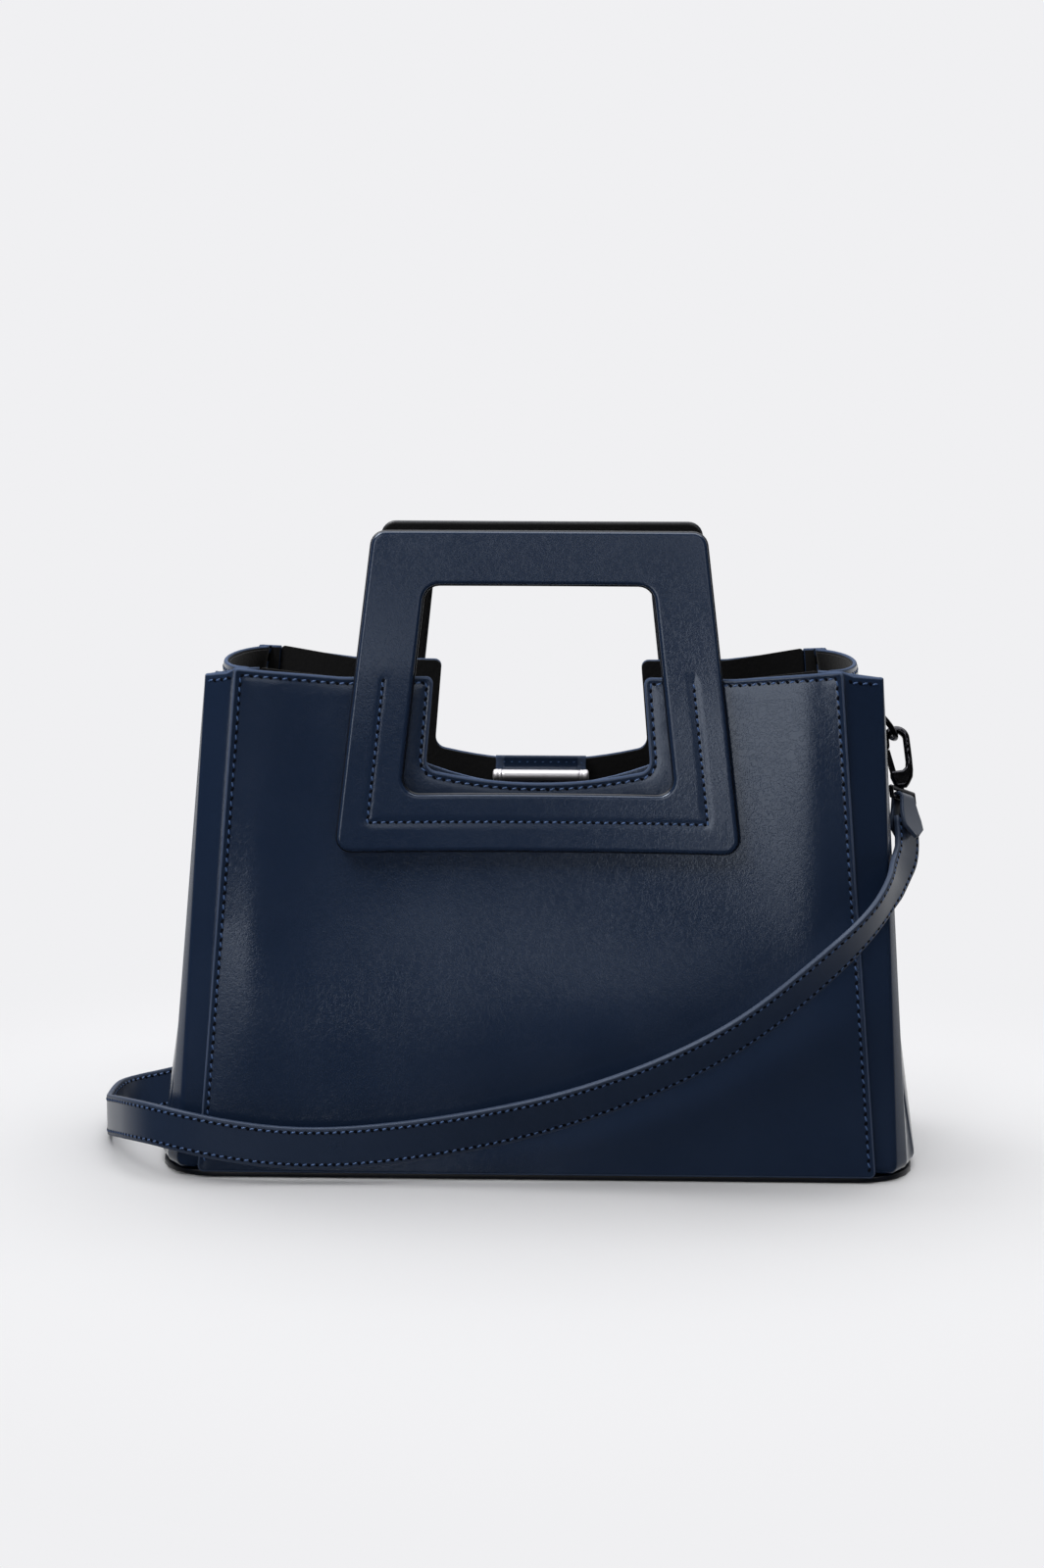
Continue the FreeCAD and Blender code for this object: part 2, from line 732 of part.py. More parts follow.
bow_height = hook_arch_height + hook_hole_radius - dring_wire_radius - hook_rest_gap
rivet_middle = lean_point(0, rivet_rise, side_lean, vec(side_x(ring_tab_height), 0, ring_tab_height))
rivet_axis = vec(side_cos, 0, side_sin)


def ring_end(dring_lean, hook_lean, eye_turn, tab_turn):
    """The pieces of one end as it hangs on the right gusset."""
    dring_bow = lean_point(0, -dring_reach, dring_lean, pivot)
    hook_origin = lean_point(0, -bow_height, hook_lean, dring_bow)
    turned_eye, turned_end = swivel_eye.copy(), strap_end.copy()
    for shape in (turned_eye, turned_end):
        shape.rotate(vec(0, 0, 0), vec(0, 0, 1), eye_turn)
    pieces = {
        "ring_tab": on_side(ring_tab),
        "tab_rivet": on_side(tab_rivet),
        "dring": place(dring, dring_lean, pivot),
        "hook": place(hook, hook_lean, hook_origin),
        "gate": place(gate, hook_lean, hook_origin),
        "gate_pin": place(gate_pin, hook_lean, hook_origin),
        "gate_spring": place(gate_spring, hook_lean, hook_origin),
        "swivel_eye": place(turned_eye, hook_lean, hook_origin),
        "strap_end": place(turned_end, hook_lean, hook_origin),
    }
    for shape in pieces.values():
        shape.rotate(rivet_middle, rivet_axis, tab_turn)
    return pieces


right_end = ring_end(right_dring_lean, right_hook_lean, right_eye_turn, right_tab_turn)
left_end = ring_end(left_dring_lean, left_hook_lean, left_eye_turn, left_tab_turn)

# Shoulder strap, from the right end round the front to the left, and from the left end behind the bag


def route_sections(route):
    """Middle points, directions and width directions along straight runs joined by tangent arcs."""
    points = [vec(*point) for point, width in route]
    widths = [vec(*width) for point, width in route]
    found = [(points[0], points[1] - points[0], widths[0])]
    for before, here, after, width in zip(points, points[1:], points[2:], widths[1:]):
        come, go = here - before, after - here
        cut = arc_share * min(come.Length, go.Length)
        come.normalize()
        go.normalize()
        turn = come.getAngle(go)
        radius = cut / math.tan(turn / 2)
        side = go - come * math.cos(turn)
        side.normalize()
        print("strap turn", round(math.degrees(turn)), "radius", round(radius, 1))
        for step in range(arc_steps + 1):
            angle = turn * step / arc_steps
            middle = here + come * (radius * math.sin(angle) - cut) + side * (radius * (1 - math.cos(angle)))
            found.append((middle, come * math.cos(angle) + side * math.sin(angle), width))
    found.append((points[-1], points[-1] - points[-2], widths[-1]))
    return found


def strap_run(route):
    """The flat band along a route."""
    sections = []
    found = route_sections(route)
    for middle, along, width in found:
        along.normalize()
        wide = width - along * width.dot(along)
        wide.normalize()
        half_wide = wide * (strap_width / 2)
        half_thick = along.cross(wide) * (strap_thick / 2)
        corners = [middle + half_wide + half_thick, middle - half_wide + half_thick]
        corners += [middle - half_wide - half_thick, middle + half_wide - half_thick]
        sections.append(Part.makePolygon(corners + corners[:1]))
    band = Part.makeLoft(sections, True, True)
    length = sum((b[0] - a[0]).Length for a, b in zip(found, found[1:]))
    share = band.Volume / (length * strap_width * strap_thick)
    print("strap run", round(length, 1), "volume to section times length", round(share, 3))
    return band


strap_runs = {
    "strap_front_run": strap_run(strap_front_route),
    "strap_back_run": strap_run(strap_back_route),
}

# Write the pieces

save(front_panel, "front_panel")
save(mirror_back(front_panel), "back_panel")
save(front_lining, "front_lining")
save(mirror_back(front_lining), "back_lining")
save(right_gusset, "right_gusset")
save(mirror_left(right_gusset), "left_gusset")
save(right_gusset_lining, "right_gusset_lining")
save(mirror_left(right_gusset_lining), "left_gusset_lining")
save(base_panel, "base_panel")
save(base_board, "base_board")
for layer, shape in handle_layers.items():
    save(shape, "front_handle_" + layer)
    save(mirror_back(shape), "back_handle_" + layer)
save(notch_facing, "notch_facing")
for node, shape in closure.items():
    save(mirror_back(on_front(shape)), node)
for piece, shape in right_end.items():
    save(shape, "right_" + piece)
for piece, shape in left_end.items():
    save(mirror_left(shape), "left_" + piece)
for node, shape in strap_runs.items():
    save(shape, node)
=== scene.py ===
import json
import math
import bpy
import bmesh
import numpy as np
from mathutils import Matrix, Vector
from mathutils.geometry import delaunay_2d_cdt


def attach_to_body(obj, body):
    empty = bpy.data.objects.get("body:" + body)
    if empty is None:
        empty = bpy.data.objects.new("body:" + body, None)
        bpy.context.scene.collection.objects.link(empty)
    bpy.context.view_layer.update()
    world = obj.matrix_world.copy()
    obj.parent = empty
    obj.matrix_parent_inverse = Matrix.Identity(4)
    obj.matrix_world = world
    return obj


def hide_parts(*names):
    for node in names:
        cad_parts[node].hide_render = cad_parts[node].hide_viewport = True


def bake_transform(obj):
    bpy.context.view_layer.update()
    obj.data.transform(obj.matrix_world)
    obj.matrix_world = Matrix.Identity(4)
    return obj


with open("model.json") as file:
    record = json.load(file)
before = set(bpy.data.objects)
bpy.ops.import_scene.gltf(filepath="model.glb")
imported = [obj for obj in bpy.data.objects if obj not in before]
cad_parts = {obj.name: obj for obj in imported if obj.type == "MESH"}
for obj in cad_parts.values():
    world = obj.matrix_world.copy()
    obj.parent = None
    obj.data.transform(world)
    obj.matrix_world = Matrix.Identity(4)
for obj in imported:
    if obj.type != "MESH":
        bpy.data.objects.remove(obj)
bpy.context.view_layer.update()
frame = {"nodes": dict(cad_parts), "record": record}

# Studio
# A pale paper sweep under and behind the bag, a main softbox high on the left that spares the paper,
# two narrow ones in front for the sheen and one overhead, and a long lens a little above the bag.
scene = bpy.context.scene
scene.view_settings.view_transform = "Standard"

# The studio is set out in metres, and the bag's own sizes are in millimetres.
mm = 0.001
image_height, focal_pixels = 1600, 2845
camera_place = (0.0228, -1.1935, 0.3541)
camera_turn, camera_tilt, camera_roll = 1.46, 80.8, 0.17
camera_data = bpy.data.cameras.new("camera")
camera_data.sensor_fit = "VERTICAL"
camera_data.sensor_height = 36
camera_data.lens = camera_data.sensor_height * focal_pixels / image_height
camera = bpy.data.objects.new("camera", camera_data)
scene.collection.objects.link(camera)
camera.matrix_world = (
    Matrix.Translation(camera_place)
    @ Matrix.Rotation(math.radians(camera_turn), 4, "Z")
    @ Matrix.Rotation(math.radians(camera_tilt), 4, "X")
    @ Matrix.Rotation(math.radians(camera_roll), 4, "Z")
)
scene.camera = camera


def linear(code):
    """The linear colour of an sRGB hex code."""
    parts = [int(code[i:i + 2], 16) / 255 for i in (1, 3, 5)]
    return tuple(c / 12.92 if c <= 0.04045 else ((c + 0.055) / 1.055) ** 2.4 for c in parts) + (1,)


def add_node(tree, kind, inputs=None, **settings):
    """A new node with its settings and inputs. An input is a value, or a socket or node to link: of a
    node, its first live output."""
    node = tree.nodes.new(kind)
    for name, value in settings.items():
        setattr(node, name, value)
    for socket, value in (inputs or {}).items():
        if isinstance(value, bpy.types.Node):
            value = next(output for output in value.outputs if output.enabled)
        if isinstance(value, bpy.types.NodeSocket):
            tree.links.new(value, node.inputs[socket])
        else:
            node.inputs[socket].default_value = value
    return node


# The room is dark in front and bright behind, so that the leather's sheen comes from the softboxes.
backdrop_colour = linear("#f0f0f2")
room_light = {"From Min": 0, "From Max": 0.8, "To Min": 0.02, "To Max": 0.75}
world = bpy.data.worlds.new("studio")
world.use_nodes = True
scene.world = world
tree = world.node_tree
tree.nodes.clear()
rays = add_node(tree, "ShaderNodeLightPath").outputs
direction = add_node(tree, "ShaderNodeTexCoord").outputs["Generated"]
depth = add_node(tree, "ShaderNodeSeparateXYZ", {"Vector": direction}).outputs["Y"]
behind = add_node(tree, "ShaderNodeMapRange", {"Value": depth, **room_light})
room = add_node(tree, "ShaderNodeBackground", {"Color": (1, 1, 1, 1), "Strength": behind})
backdrop = add_node(tree, "ShaderNodeBackground", {"Color": backdrop_colour, "Strength": 1})
mixed = add_node(tree, "ShaderNodeMixShader", {0: rays["Is Camera Ray"], 1: room, 2: backdrop})
add_node(tree, "ShaderNodeOutputWorld", {"Surface": mixed})

bag_middle = (0, 0, 0.12)
# Each softbox has a name, a place, an aim, a width, a height and a power in watts.
softboxes = [
    ("main_softbox", (-0.68, -0.4, 1.15), bag_middle, 0.5, 0.5, 11.5),
    ("key_softbox", (-0.38, -1.35, 0.44), bag_middle, 0.36, 0.9, 2.5),
    ("fill_softbox", (0.16, -1.3, 0.6), bag_middle, 0.3, 0.7, 0.7),
    ("top_softbox", (0, 0.05, 1.7), (0, 0.05, 0), 2.2, 1.8, 36),
]
for name, place, aim, wide, tall, watts in softboxes:
    lamp = bpy.data.lights.new(name, "AREA")
    lamp.shape = "RECTANGLE"
    lamp.size = wide
    lamp.size_y = tall
    lamp.energy = watts
    softbox = bpy.data.objects.new(name, lamp)
    scene.collection.objects.link(softbox)
    softbox.location = place
    softbox.rotation_euler = (Vector(aim) - Vector(place)).to_track_quat("-Z", "Y").to_euler()

floor_side, floor_front, floor_back = 9, -0.47, 14
floor_corners = [(-floor_side, floor_front, 0), (floor_side, floor_front, 0)]
floor_corners += [(floor_side, floor_back, 0), (-floor_side, floor_back, 0)]
floor_mesh = bpy.data.meshes.new("floor")
floor_mesh.from_pydata(floor_corners, [], [(0, 1, 2, 3)])
floor = bpy.data.objects.new("floor", floor_mesh)
scene.collection.objects.link(floor)


def new_material(name):
    """A material, its node tree, and the object coordinates that its patterns follow."""
    made = bpy.data.materials.new(name)
    made.use_nodes = True
    tree = made.node_tree
    tree.nodes.clear()
    return made, tree, add_node(tree, "ShaderNodeTexCoord").outputs["Object"]


# Matt paper: it takes the bag's shadow near by, and farther off it is as bright as the backdrop.
shadow_reach = {"From Min": 0.19, "From Max": 0.42, "To Min": 1, "To Max": 0}
paper, tree, spot = new_material("pale_paper_sweep")
rays = add_node(tree, "ShaderNodeLightPath").outputs
reach = add_node(tree, "ShaderNodeVectorMath", {0: spot}, operation="LENGTH").outputs["Value"]
near = add_node(
    tree,
    "ShaderNodeMapRange",
    {"Value": reach, **shadow_reach},
    interpolation_type="SMOOTHSTEP",
)
lit = add_node(tree, "ShaderNodeBsdfDiffuse", {"Color": linear("#ececee")})
glow = add_node(tree, "ShaderNodeEmission", {"Color": backdrop_colour, "Strength": 1})
sweep = add_node(tree, "ShaderNodeMixShader", {0: near, 1: glow, 2: lit})
shown = add_node(tree, "ShaderNodeMixShader", {0: rays["Is Camera Ray"], 1: lit, 2: sweep})
add_node(tree, "ShaderNodeOutputMaterial", {"Surface": shown})
floor_mesh.materials.append(paper)
floor.visible_glossy = False
spared = bpy.data.collections.new("spared_by_the_main_softbox")
spared.objects.link(floor)
spared.collection_objects[0].light_linking.link_state = "EXCLUDE"
scene.objects["main_softbox"].light_linking.receiver_collection = spared

# Base
# A plate of the same calf leather as the walls, sewn in under them with its edge painted, and kept
# stiff by a fibreboard that is covered in the black lining. The whole plate is drawn in the near-black
# edge paint, so the dark line at the foot is its painted edge and painted shade together.
base_leather, board_thick = 2.4, 2.0
base_half, base_half_deep, base_radius = 161, 55.8, 25
board_half, board_half_deep, board_radius = 158, 51.9, 23
plate_side, plate_spacing = 8, 12


def mottled(name, shades, pattern, relief, look):
    """A material of two shades in a noise pattern, which can also raise its surface. The last three
    are named inputs of its noise, its bump and its shader."""
    made, tree, spot = new_material(name)
    noise = add_node(tree, "ShaderNodeTexNoise", {"Vector": spot, **pattern})
    dark, pale = [linear(code) for code in shades]
    colour = add_node(tree, "ShaderNodeMix", {0: noise, 6: dark, 7: pale}, data_type="RGBA")
    look = {"Base Color": colour, **look}
    if relief:
        look["Normal"] = add_node(tree, "ShaderNodeBump", {"Height": noise, **relief})
    surface = add_node(tree, "ShaderNodeBsdfPrincipled", look)
    add_node(tree, "ShaderNodeOutputMaterial", {"Surface": surface})
    return made


# Edge paint: thick satin enamel laid on the cut edge, almost black, with small waves. It also serves as
# painted shade, on the whole base plate and on the handles' edges where they stand proud.
wave_size, wave_height = 4 * mm, 0.3 * mm
edge_paint_and_shade = mottled(
    "edge_paint_and_painted_shade",
    ("#080c16", "#101724"),
    {"Scale": 1 / wave_size, "Detail": 2},
    {"Strength": 0.2, "Distance": wave_height},
    {"Roughness": 0.4},
)

# Brushed suede: no gloss, a nap of short fibres that catches a little light at the edges. The nap is
# drawn coarser than it is, so that it shows.
nap_size, nap_height = 1.6 * mm, 0.4 * mm
black_suede = mottled(
    "black_suede_lining",
    ("#040405", "#0f0f11"),
    {"Scale": 1 / nap_size, "Detail": 3},
    {"Strength": 0.5, "Distance": nap_height},
    {"Roughness": 0.95, "Sheen Weight": 0.08, "Specular IOR Level": 0.2},
)


def rounded(corners, steps=6):
    """The closed outline through corners (across, up, radius), each turned on its radius."""
    line = []
    for i, (x, y, radius) in enumerate(corners):
        here = Vector((x, y))
        back = (Vector(corners[i - 1][:2]) - here).normalized()
        ahead = (Vector(corners[(i + 1) % len(corners)][:2]) - here).normalized()
        if radius == 0:
            line.append((x, y))
            continue
        half = back.angle(ahead) / 2
        middle = here + (back + ahead).normalized() * radius / math.sin(half)
        start = here + back * radius / math.tan(half) - middle
        end = here + ahead * radius / math.tan(half) - middle
        sweep = math.pi - 2 * half
        for step in range(steps + 1):
            turn = sweep * step / steps
            spoke = start * math.sin(sweep - turn) + end * math.sin(turn)
            line.append(tuple(middle + spoke / math.sin(sweep)))
    return line


def fine(loop, longest):
    """The closed loop with its long sides divided."""
    line = []
    for (x0, y0), (x1, y1) in zip(loop, loop[1:] + loop[:1]):
        count = max(1, round(math.dist((x0, y0), (x1, y1)) / longest))
        shares = [k / count for k in range(count)]
        line += [(x0 + (x1 - x0) * share, y0 + (y1 - y0) * share) for share in shares]
    return line


def inset(loop, margin):
    """The closed loop moved to its left, where the leather is."""
    ring = np.array(loop)
    along = np.roll(ring, -1, 0) - ring
    along /= np.maximum(np.linalg.norm(along, axis=1), 1e-9)[:, None]
    left = np.stack([-along[:, 1], along[:, 0]], 1)
    before = np.roll(left, 1, 0)
    sharpest = 0.35
    spread = np.maximum(1 + (left * before).sum(1), sharpest)
    return [tuple(p) for p in ring + margin * (left + before) / spread[:, None]]


def within(points, loops):
    """Which of the points lie inside the outline that the loops make together."""
    hits = np.zeros(len(points), int)
    for loop in loops:
        for (x0, y0), (x1, y1) in zip(loop, loop[1:] + loop[:1]):
            if y0 != y1:
                crossing = (y0 > points[:, 1]) != (y1 > points[:, 1])
                hits += crossing & (points[:, 0] < x0 + (points[:, 1] - y0) * (x1 - x0) / (y1 - y0))
    return hits % 2 == 1


def show(mesh, name, *materials):
    """An object from a bmesh, smooth, with its doubles merged and its faces turned outwards."""
    bmesh.ops.remove_doubles(mesh, verts=mesh.verts, dist=2e-6)
    bmesh.ops.recalc_face_normals(mesh, faces=mesh.faces)
    data = bpy.data.meshes.new(name)
    mesh.to_mesh(data)
    mesh.free()
    data.polygons.foreach_set("use_smooth", [True] * len(data.polygons))
    for material in materials:
        data.materials.append(material)
    made = bpy.data.objects.new(name, data)
    scene.collection.objects.link(made)
    return made


def skin(mesh, rows, capped=False):
    """Faces between closed rows of vertices, from each row to the next, and over both ends if capped."""
    for upper, lower in zip(rows, rows[1:]):
        for k in range(len(upper)):
            mesh.faces.new((upper[k - 1], upper[k], lower[k], lower[k - 1]))
    if capped:
        mesh.faces.new(rows[0])
        mesh.faces.new(rows[-1][::-1])


def triangles(borders, inner, spacing, extra):
    """Points and triangles that fill the borders, with a field of points inside the inner loops."""
    extra_room, sliver = 1.2, 1e-3
    low, high = np.min(borders[0], 0), np.max(borders[0], 0)
    columns, levels = [np.arange(low[axis], high[axis], spacing) for axis in range(2)]
    across, up = np.meshgrid(columns, levels)
    across[1::2] += spacing / 2
    field = np.stack([across.ravel(), up.ravel()], 1)
    field = field[within(field, inner)]
    if len(extra):
        gaps = np.linalg.norm(field[:, None] - np.array(extra)[None], axis=2).min(1)
        field = np.concatenate([field[gaps > extra_room], extra])
    points, sides = [], []
    for border in borders:
        first, count = len(points), len(border)
        sides += [(first + k, first + (k + 1) % count) for k in range(count)]
        points += border
    points += [tuple(p) for p in field]
    spots, _, faces, *_ = delaunay_2d_cdt([Vector(p) for p in points], sides, [], 0, 1e-6)
    flat = np.array([tuple(p) for p in spots])
    corners = flat[np.array(faces)]
    one, two = corners[:, 1] - corners[:, 0], corners[:, 2] - corners[:, 0]
    solid = np.abs(one[:, 0] * two[:, 1] - one[:, 1] * two[:, 0]) > sliver
    kept = within(corners.mean(1), borders) & solid
    return flat, [face for face, keep in zip(faces, kept) if keep]


def cut_piece(name, loops, profile, spacing, place, materials, edge_tone=0, extra=()):
    """A piece cut from sheet along loops that keep it on their left. profile gives the edge's margins
    and depths from face to face, place sets (across, up, depth) in the frame, the second material is
    the back's, edge_tone is how pale the cut edge is drawn, partly its own paler colour and partly a
    painted highlight along it, and extra are more points on the faces."""
    flat_strip, inner_share = 0.4, 0.3
    ends = [(margin + flat_strip, deep) for margin, deep in (profile[0], profile[-1])]
    profile = ends[:1] + profile + ends[1:]
    mesh = bmesh.new()
    rim = mesh.verts.layers.float.new("rim")
    for loop in loops:
        rows = []
        for row, (margin, deep) in enumerate(profile):
            verts = [mesh.verts.new(place(x, y, deep)) for x, y in inset(loop, margin)]
            for vert in verts:
                vert[rim] = edge_tone if 2 <= row < len(profile) - 2 else 0
            rows.append(verts)
        skin(mesh, rows)
    for index, (margin, deep) in enumerate(ends):
        borders = [inset(loop, margin) for loop in loops]
        inner = [inset(loop, margin + inner_share * spacing) for loop in loops]
        flat, faces = triangles(borders, inner, spacing, extra)
        verts = [mesh.verts.new(place(x, y, deep)) for x, y in flat]
        for face in faces:
            made = mesh.faces.new([verts[i] for i in face])
            made.material_index = min(index, len(materials) - 1)
        for vert in [v for v in verts if not v.link_faces]:
            mesh.verts.remove(vert)
    return show(mesh, name, *materials)


def attach(piece, node, body):
    """The piece stands for that CAD node, if one is given, and moves with that body."""
    if node:
        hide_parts(node)
    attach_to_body(piece, body)


def level_place(top):
    """Sets (across, back, down from that height) on the level."""
    def place(x, y, deep):
        return Vector((x, y, top - deep)) * mm
    return place


def plate_loop(half, half_deep, radius):
    """The outline of a level plate with round corners."""
    turns = ((-1, -1), (1, -1), (1, 1), (-1, 1))
    return fine(rounded([(a * half, b * half_deep, radius) for a, b in turns]), plate_side)


base_loop = plate_loop(base_half, base_half_deep, base_radius)
base_edge = [(0.5, 0), (0.1, 0.2), (0, 0.6), (0, 1.8), (0.1, 2.2), (0.6, base_leather)]
on_floor = level_place(base_leather)
# The plate takes the edge paint all over: its painted edge, and painted shade at the foot.
base = cut_piece("base", [base_loop], base_edge, plate_spacing, on_floor, [edge_paint_and_shade])
attach(base, "base_panel", "bag")
board_loop = plate_loop(board_half, board_half_deep, board_radius)
board_edge = [(0.8, 0), (0.2, 0.3), (0, 0.8), (0, board_thick)]
on_base = level_place(base_leather + board_thick)
board = cut_piece("covered_board", [board_loop], board_edge, plate_spacing, on_base, [black_suede])
attach(board, "base_board", "bag")

# Front and back panels
# Each is one piece of stiff calf, straight at the foot and leaning inwards, with its upper corners
# drawn forwards over the gussets and a cut-out under the handle, lined with black suede.
body_height, panel_rise = 216.0, 213.6
half_foot, half_top = 143.5, 126.0
front_foot_y, lean_run = -57.0, 24.0
panel_leather, lining_leather = 2.4, 0.8
foot_radius, top_radius = 2.5, 1.5
brim, brim_across, brim_radius = 211.5, 82, 30
notch_top, notch_foot, notch_corner, notch_sag = 44.0, 47.3, 172.4, 5.7
notch_top_radius, notch_foot_radius, notch_turn, notch_turn_drop = 3, 5, 6, 1.2
lining_share, lining_foot, lining_drop, lining_side = 0.92, 4, 0.5, 5
side_draw, corner_draw, middle_sink, foot_press = 15, 3.5, 1.5, 14
roll_depth, roll_width = 3, 12
belly_depth, belly_height, belly_spread = 3.9, 70, 36
seam_margin, seam_pitch, seam_depth, seam_width = 2.6, 4.0, 0.25, 1.2
row_step, row_lift, channel_offsets = 2, 3, (-1.1, 0, 1.1, 2.4)
panel_edge_tone, panel_spacing, lining_spacing, highest_share = 0.3, 4, 8, 1.02

# Finished calf: a thin clear dressing over dyed leather, so broad soft highlights in which fine hair
# creases about 3 mm apart and smaller pores show. Both are drawn coarser than they are, so that they
# show. The raw edge is dull and a little paler, partly its own colour and partly a painted highlight.
dye_size, wear_size = 60 * mm, 30 * mm
crease_size, pore_size, grain_height = 2.8 * mm, 1.3 * mm, 0.3 * mm
crease_share, pore_share, edge_roughness = 0.07, 0.7, 4
navy_calf, tree, spot = new_material("smooth_navy_calf")
clouds = add_node(tree, "ShaderNodeTexNoise", {"Vector": spot, "Scale": 1 / dye_size, "Detail": 3})
shades = {0: clouds, 6: linear("#162236"), 7: linear("#1c293f")}
dye = add_node(tree, "ShaderNodeMix", shades, data_type="RGBA")
edge = add_node(tree, "ShaderNodeAttribute", attribute_name="rim").outputs["Fac"]
# The rim attribute pales the cut edges: partly their own colour, partly a painted highlight along them.
colour = add_node(tree, "ShaderNodeMix", {0: edge, 6: dye, 7: linear("#56688a")}, data_type="RGBA")
curled = {"Vector": spot, "Scale": 1 / crease_size, "Detail": 2, "Distortion": 1.4}
crease = add_node(tree, "ShaderNodeTexNoise", curled)
crease = add_node(tree, "ShaderNodeMath", {0: crease, 1: 0.5}, operation="SUBTRACT")
crease = add_node(tree, "ShaderNodeMath", {0: crease}, operation="ABSOLUTE")
crease = add_node(
    tree,
    "ShaderNodeMapRange",
    {"Value": crease, "From Min": 0, "From Max": crease_share},
    interpolation_type="SMOOTHSTEP",
)
pores = add_node(tree, "ShaderNodeTexNoise", {"Vector": spot, "Scale": 1 / pore_size, "Detail": 1})
grain = add_node(tree, "ShaderNodeMath", {0: pores, 1: pore_share, 2: crease}, operation="MULTIPLY_ADD")
relief = add_node(tree, "ShaderNodeBump", {"Strength": 0.06, "Distance": grain_height, "Height": grain})
wear = add_node(tree, "ShaderNodeTexNoise", {"Vector": spot, "Scale": 1 / wear_size, "Detail": 2})
gloss_range = {"From Min": 0.3, "From Max": 0.7, "To Min": 0.16, "To Max": 0.2}
polish = add_node(tree, "ShaderNodeMapRange", {"Value": wear, **gloss_range})
dull = add_node(
    tree,
    "ShaderNodeMath",
    {0: edge, 1: edge_roughness, 2: polish},
    operation="MULTIPLY_ADD",
    use_clamp=True,
)
look = {"Base Color": colour, "Normal": relief, "Roughness": dull}
look.update({"Specular IOR Level": 0.65, "Specular Tint": linear("#e6f0ff")})
dressing = add_node(tree, "ShaderNodeBsdfPrincipled", look)
add_node(tree, "ShaderNodeOutputMaterial", {"Surface": dressing})

# Bonded polyester: a few shades paler than the leather, with the twist of its plies.
ply_size, ply_height = 0.5 * mm, 0.2 * mm
thread = mottled(
    "bonded_blue_thread",
    ("#20375c", "#476799"),
    {"Scale": 1 / ply_size, "Detail": 1},
    {"Strength": 0.4, "Distance": ply_height},
    {"Roughness": 0.5},
)

# Painted shade for the needle hole beside each stitch: a dark, dull and rough bead where the hole lies
# in shadow.
hole_shade_grain = 1 * mm
hole_shade = mottled(
    "painted_stitch_hole_shade",
    ("#02040a", "#080d18"),
    {"Scale": 1 / hole_shade_grain, "Detail": 1},
    None,
    {"Roughness": 0.9, "Specular IOR Level": 0.1},
)

# The stitches: a bead on each spot of a mesh, laid along its row, slanted, and wavering a little.
stitching = bpy.data.node_groups.new("stitching", "GeometryNodeTree")
stitch_sockets = {}
stitch_inputs = {"Spots": "Geometry", "Size": "Vector", "Slant": "Float", "Material": "Material"}
for word, kind in stitch_inputs.items():
    socket = stitching.interface.new_socket(word, in_out="INPUT", socket_type="NodeSocket" + kind)
    stitch_sockets[word] = socket.identifier
stitching.interface.new_socket("Stitches", in_out="OUTPUT", socket_type="NodeSocketGeometry")
given = add_node(stitching, "NodeGroupInput").outputs
attribute_node = "GeometryNodeInputNamedAttribute"
out = add_node(stitching, attribute_node, {"Name": "out"}, data_type="FLOAT_VECTOR")
along = add_node(stitching, attribute_node, {"Name": "along"}, data_type="FLOAT_VECTOR")
lie = add_node(
    stitching,
    "FunctionNodeAxesToRotation",
    {"Primary Axis": out.outputs["Attribute"], "Secondary Axis": along.outputs["Attribute"]},
    primary_axis="Z",
    secondary_axis="X",
)
waver = add_node(stitching, "FunctionNodeRandomValue", {2: -0.1, 3: 0.1, "Seed": 7})
turn = add_node(stitching, "ShaderNodeMath", {0: given["Slant"], 1: waver.outputs[1]}, operation="ADD")
turn = add_node(stitching, "ShaderNodeCombineXYZ", {"Z": turn.outputs[0]})
turn = add_node(stitching, "FunctionNodeEulerToRotation", {"Euler": turn.outputs[0]})
lie = add_node(
    stitching,
    "FunctionNodeRotateRotation",
    {"Rotation": lie.outputs[0], "Rotate By": turn.outputs[0]},
    rotation_space="LOCAL",
)
bead = add_node(stitching, "GeometryNodeMeshUVSphere", {"Segments": 8, "Rings": 5, "Radius": 1})
laid = add_node(
    stitching,
    "GeometryNodeInstanceOnPoints",
    {
        "Points": given["Spots"],
        "Instance": bead.outputs["Mesh"],
        "Rotation": lie.outputs[0],
        "Scale": given["Size"],
    },
)
laid = add_node(stitching, "GeometryNodeRealizeInstances", {0: laid.outputs[0]})
laid = add_node(stitching, "GeometryNodeSetShadeSmooth", {0: laid.outputs[0]})
dyed = {0: laid.outputs[0], "Material": given["Material"]}
laid = add_node(stitching, "GeometryNodeSetMaterial", dyed)
add_node(stitching, "NodeGroupOutput", {0: laid.outputs[0]})


def baked(made):
    """The object with its modifiers turned into its own mesh."""
    bpy.context.view_layer.update()
    data = bpy.data.meshes.new_from_object(made.evaluated_get(bpy.context.evaluated_depsgraph_get()))
    made.modifiers.clear()
    made.data = data
    return made


def lengths_along(line):
    """How far along the line each of its points lies."""
    return np.concatenate([[0], np.cumsum(np.linalg.norm(np.diff(line, axis=0), axis=1))])


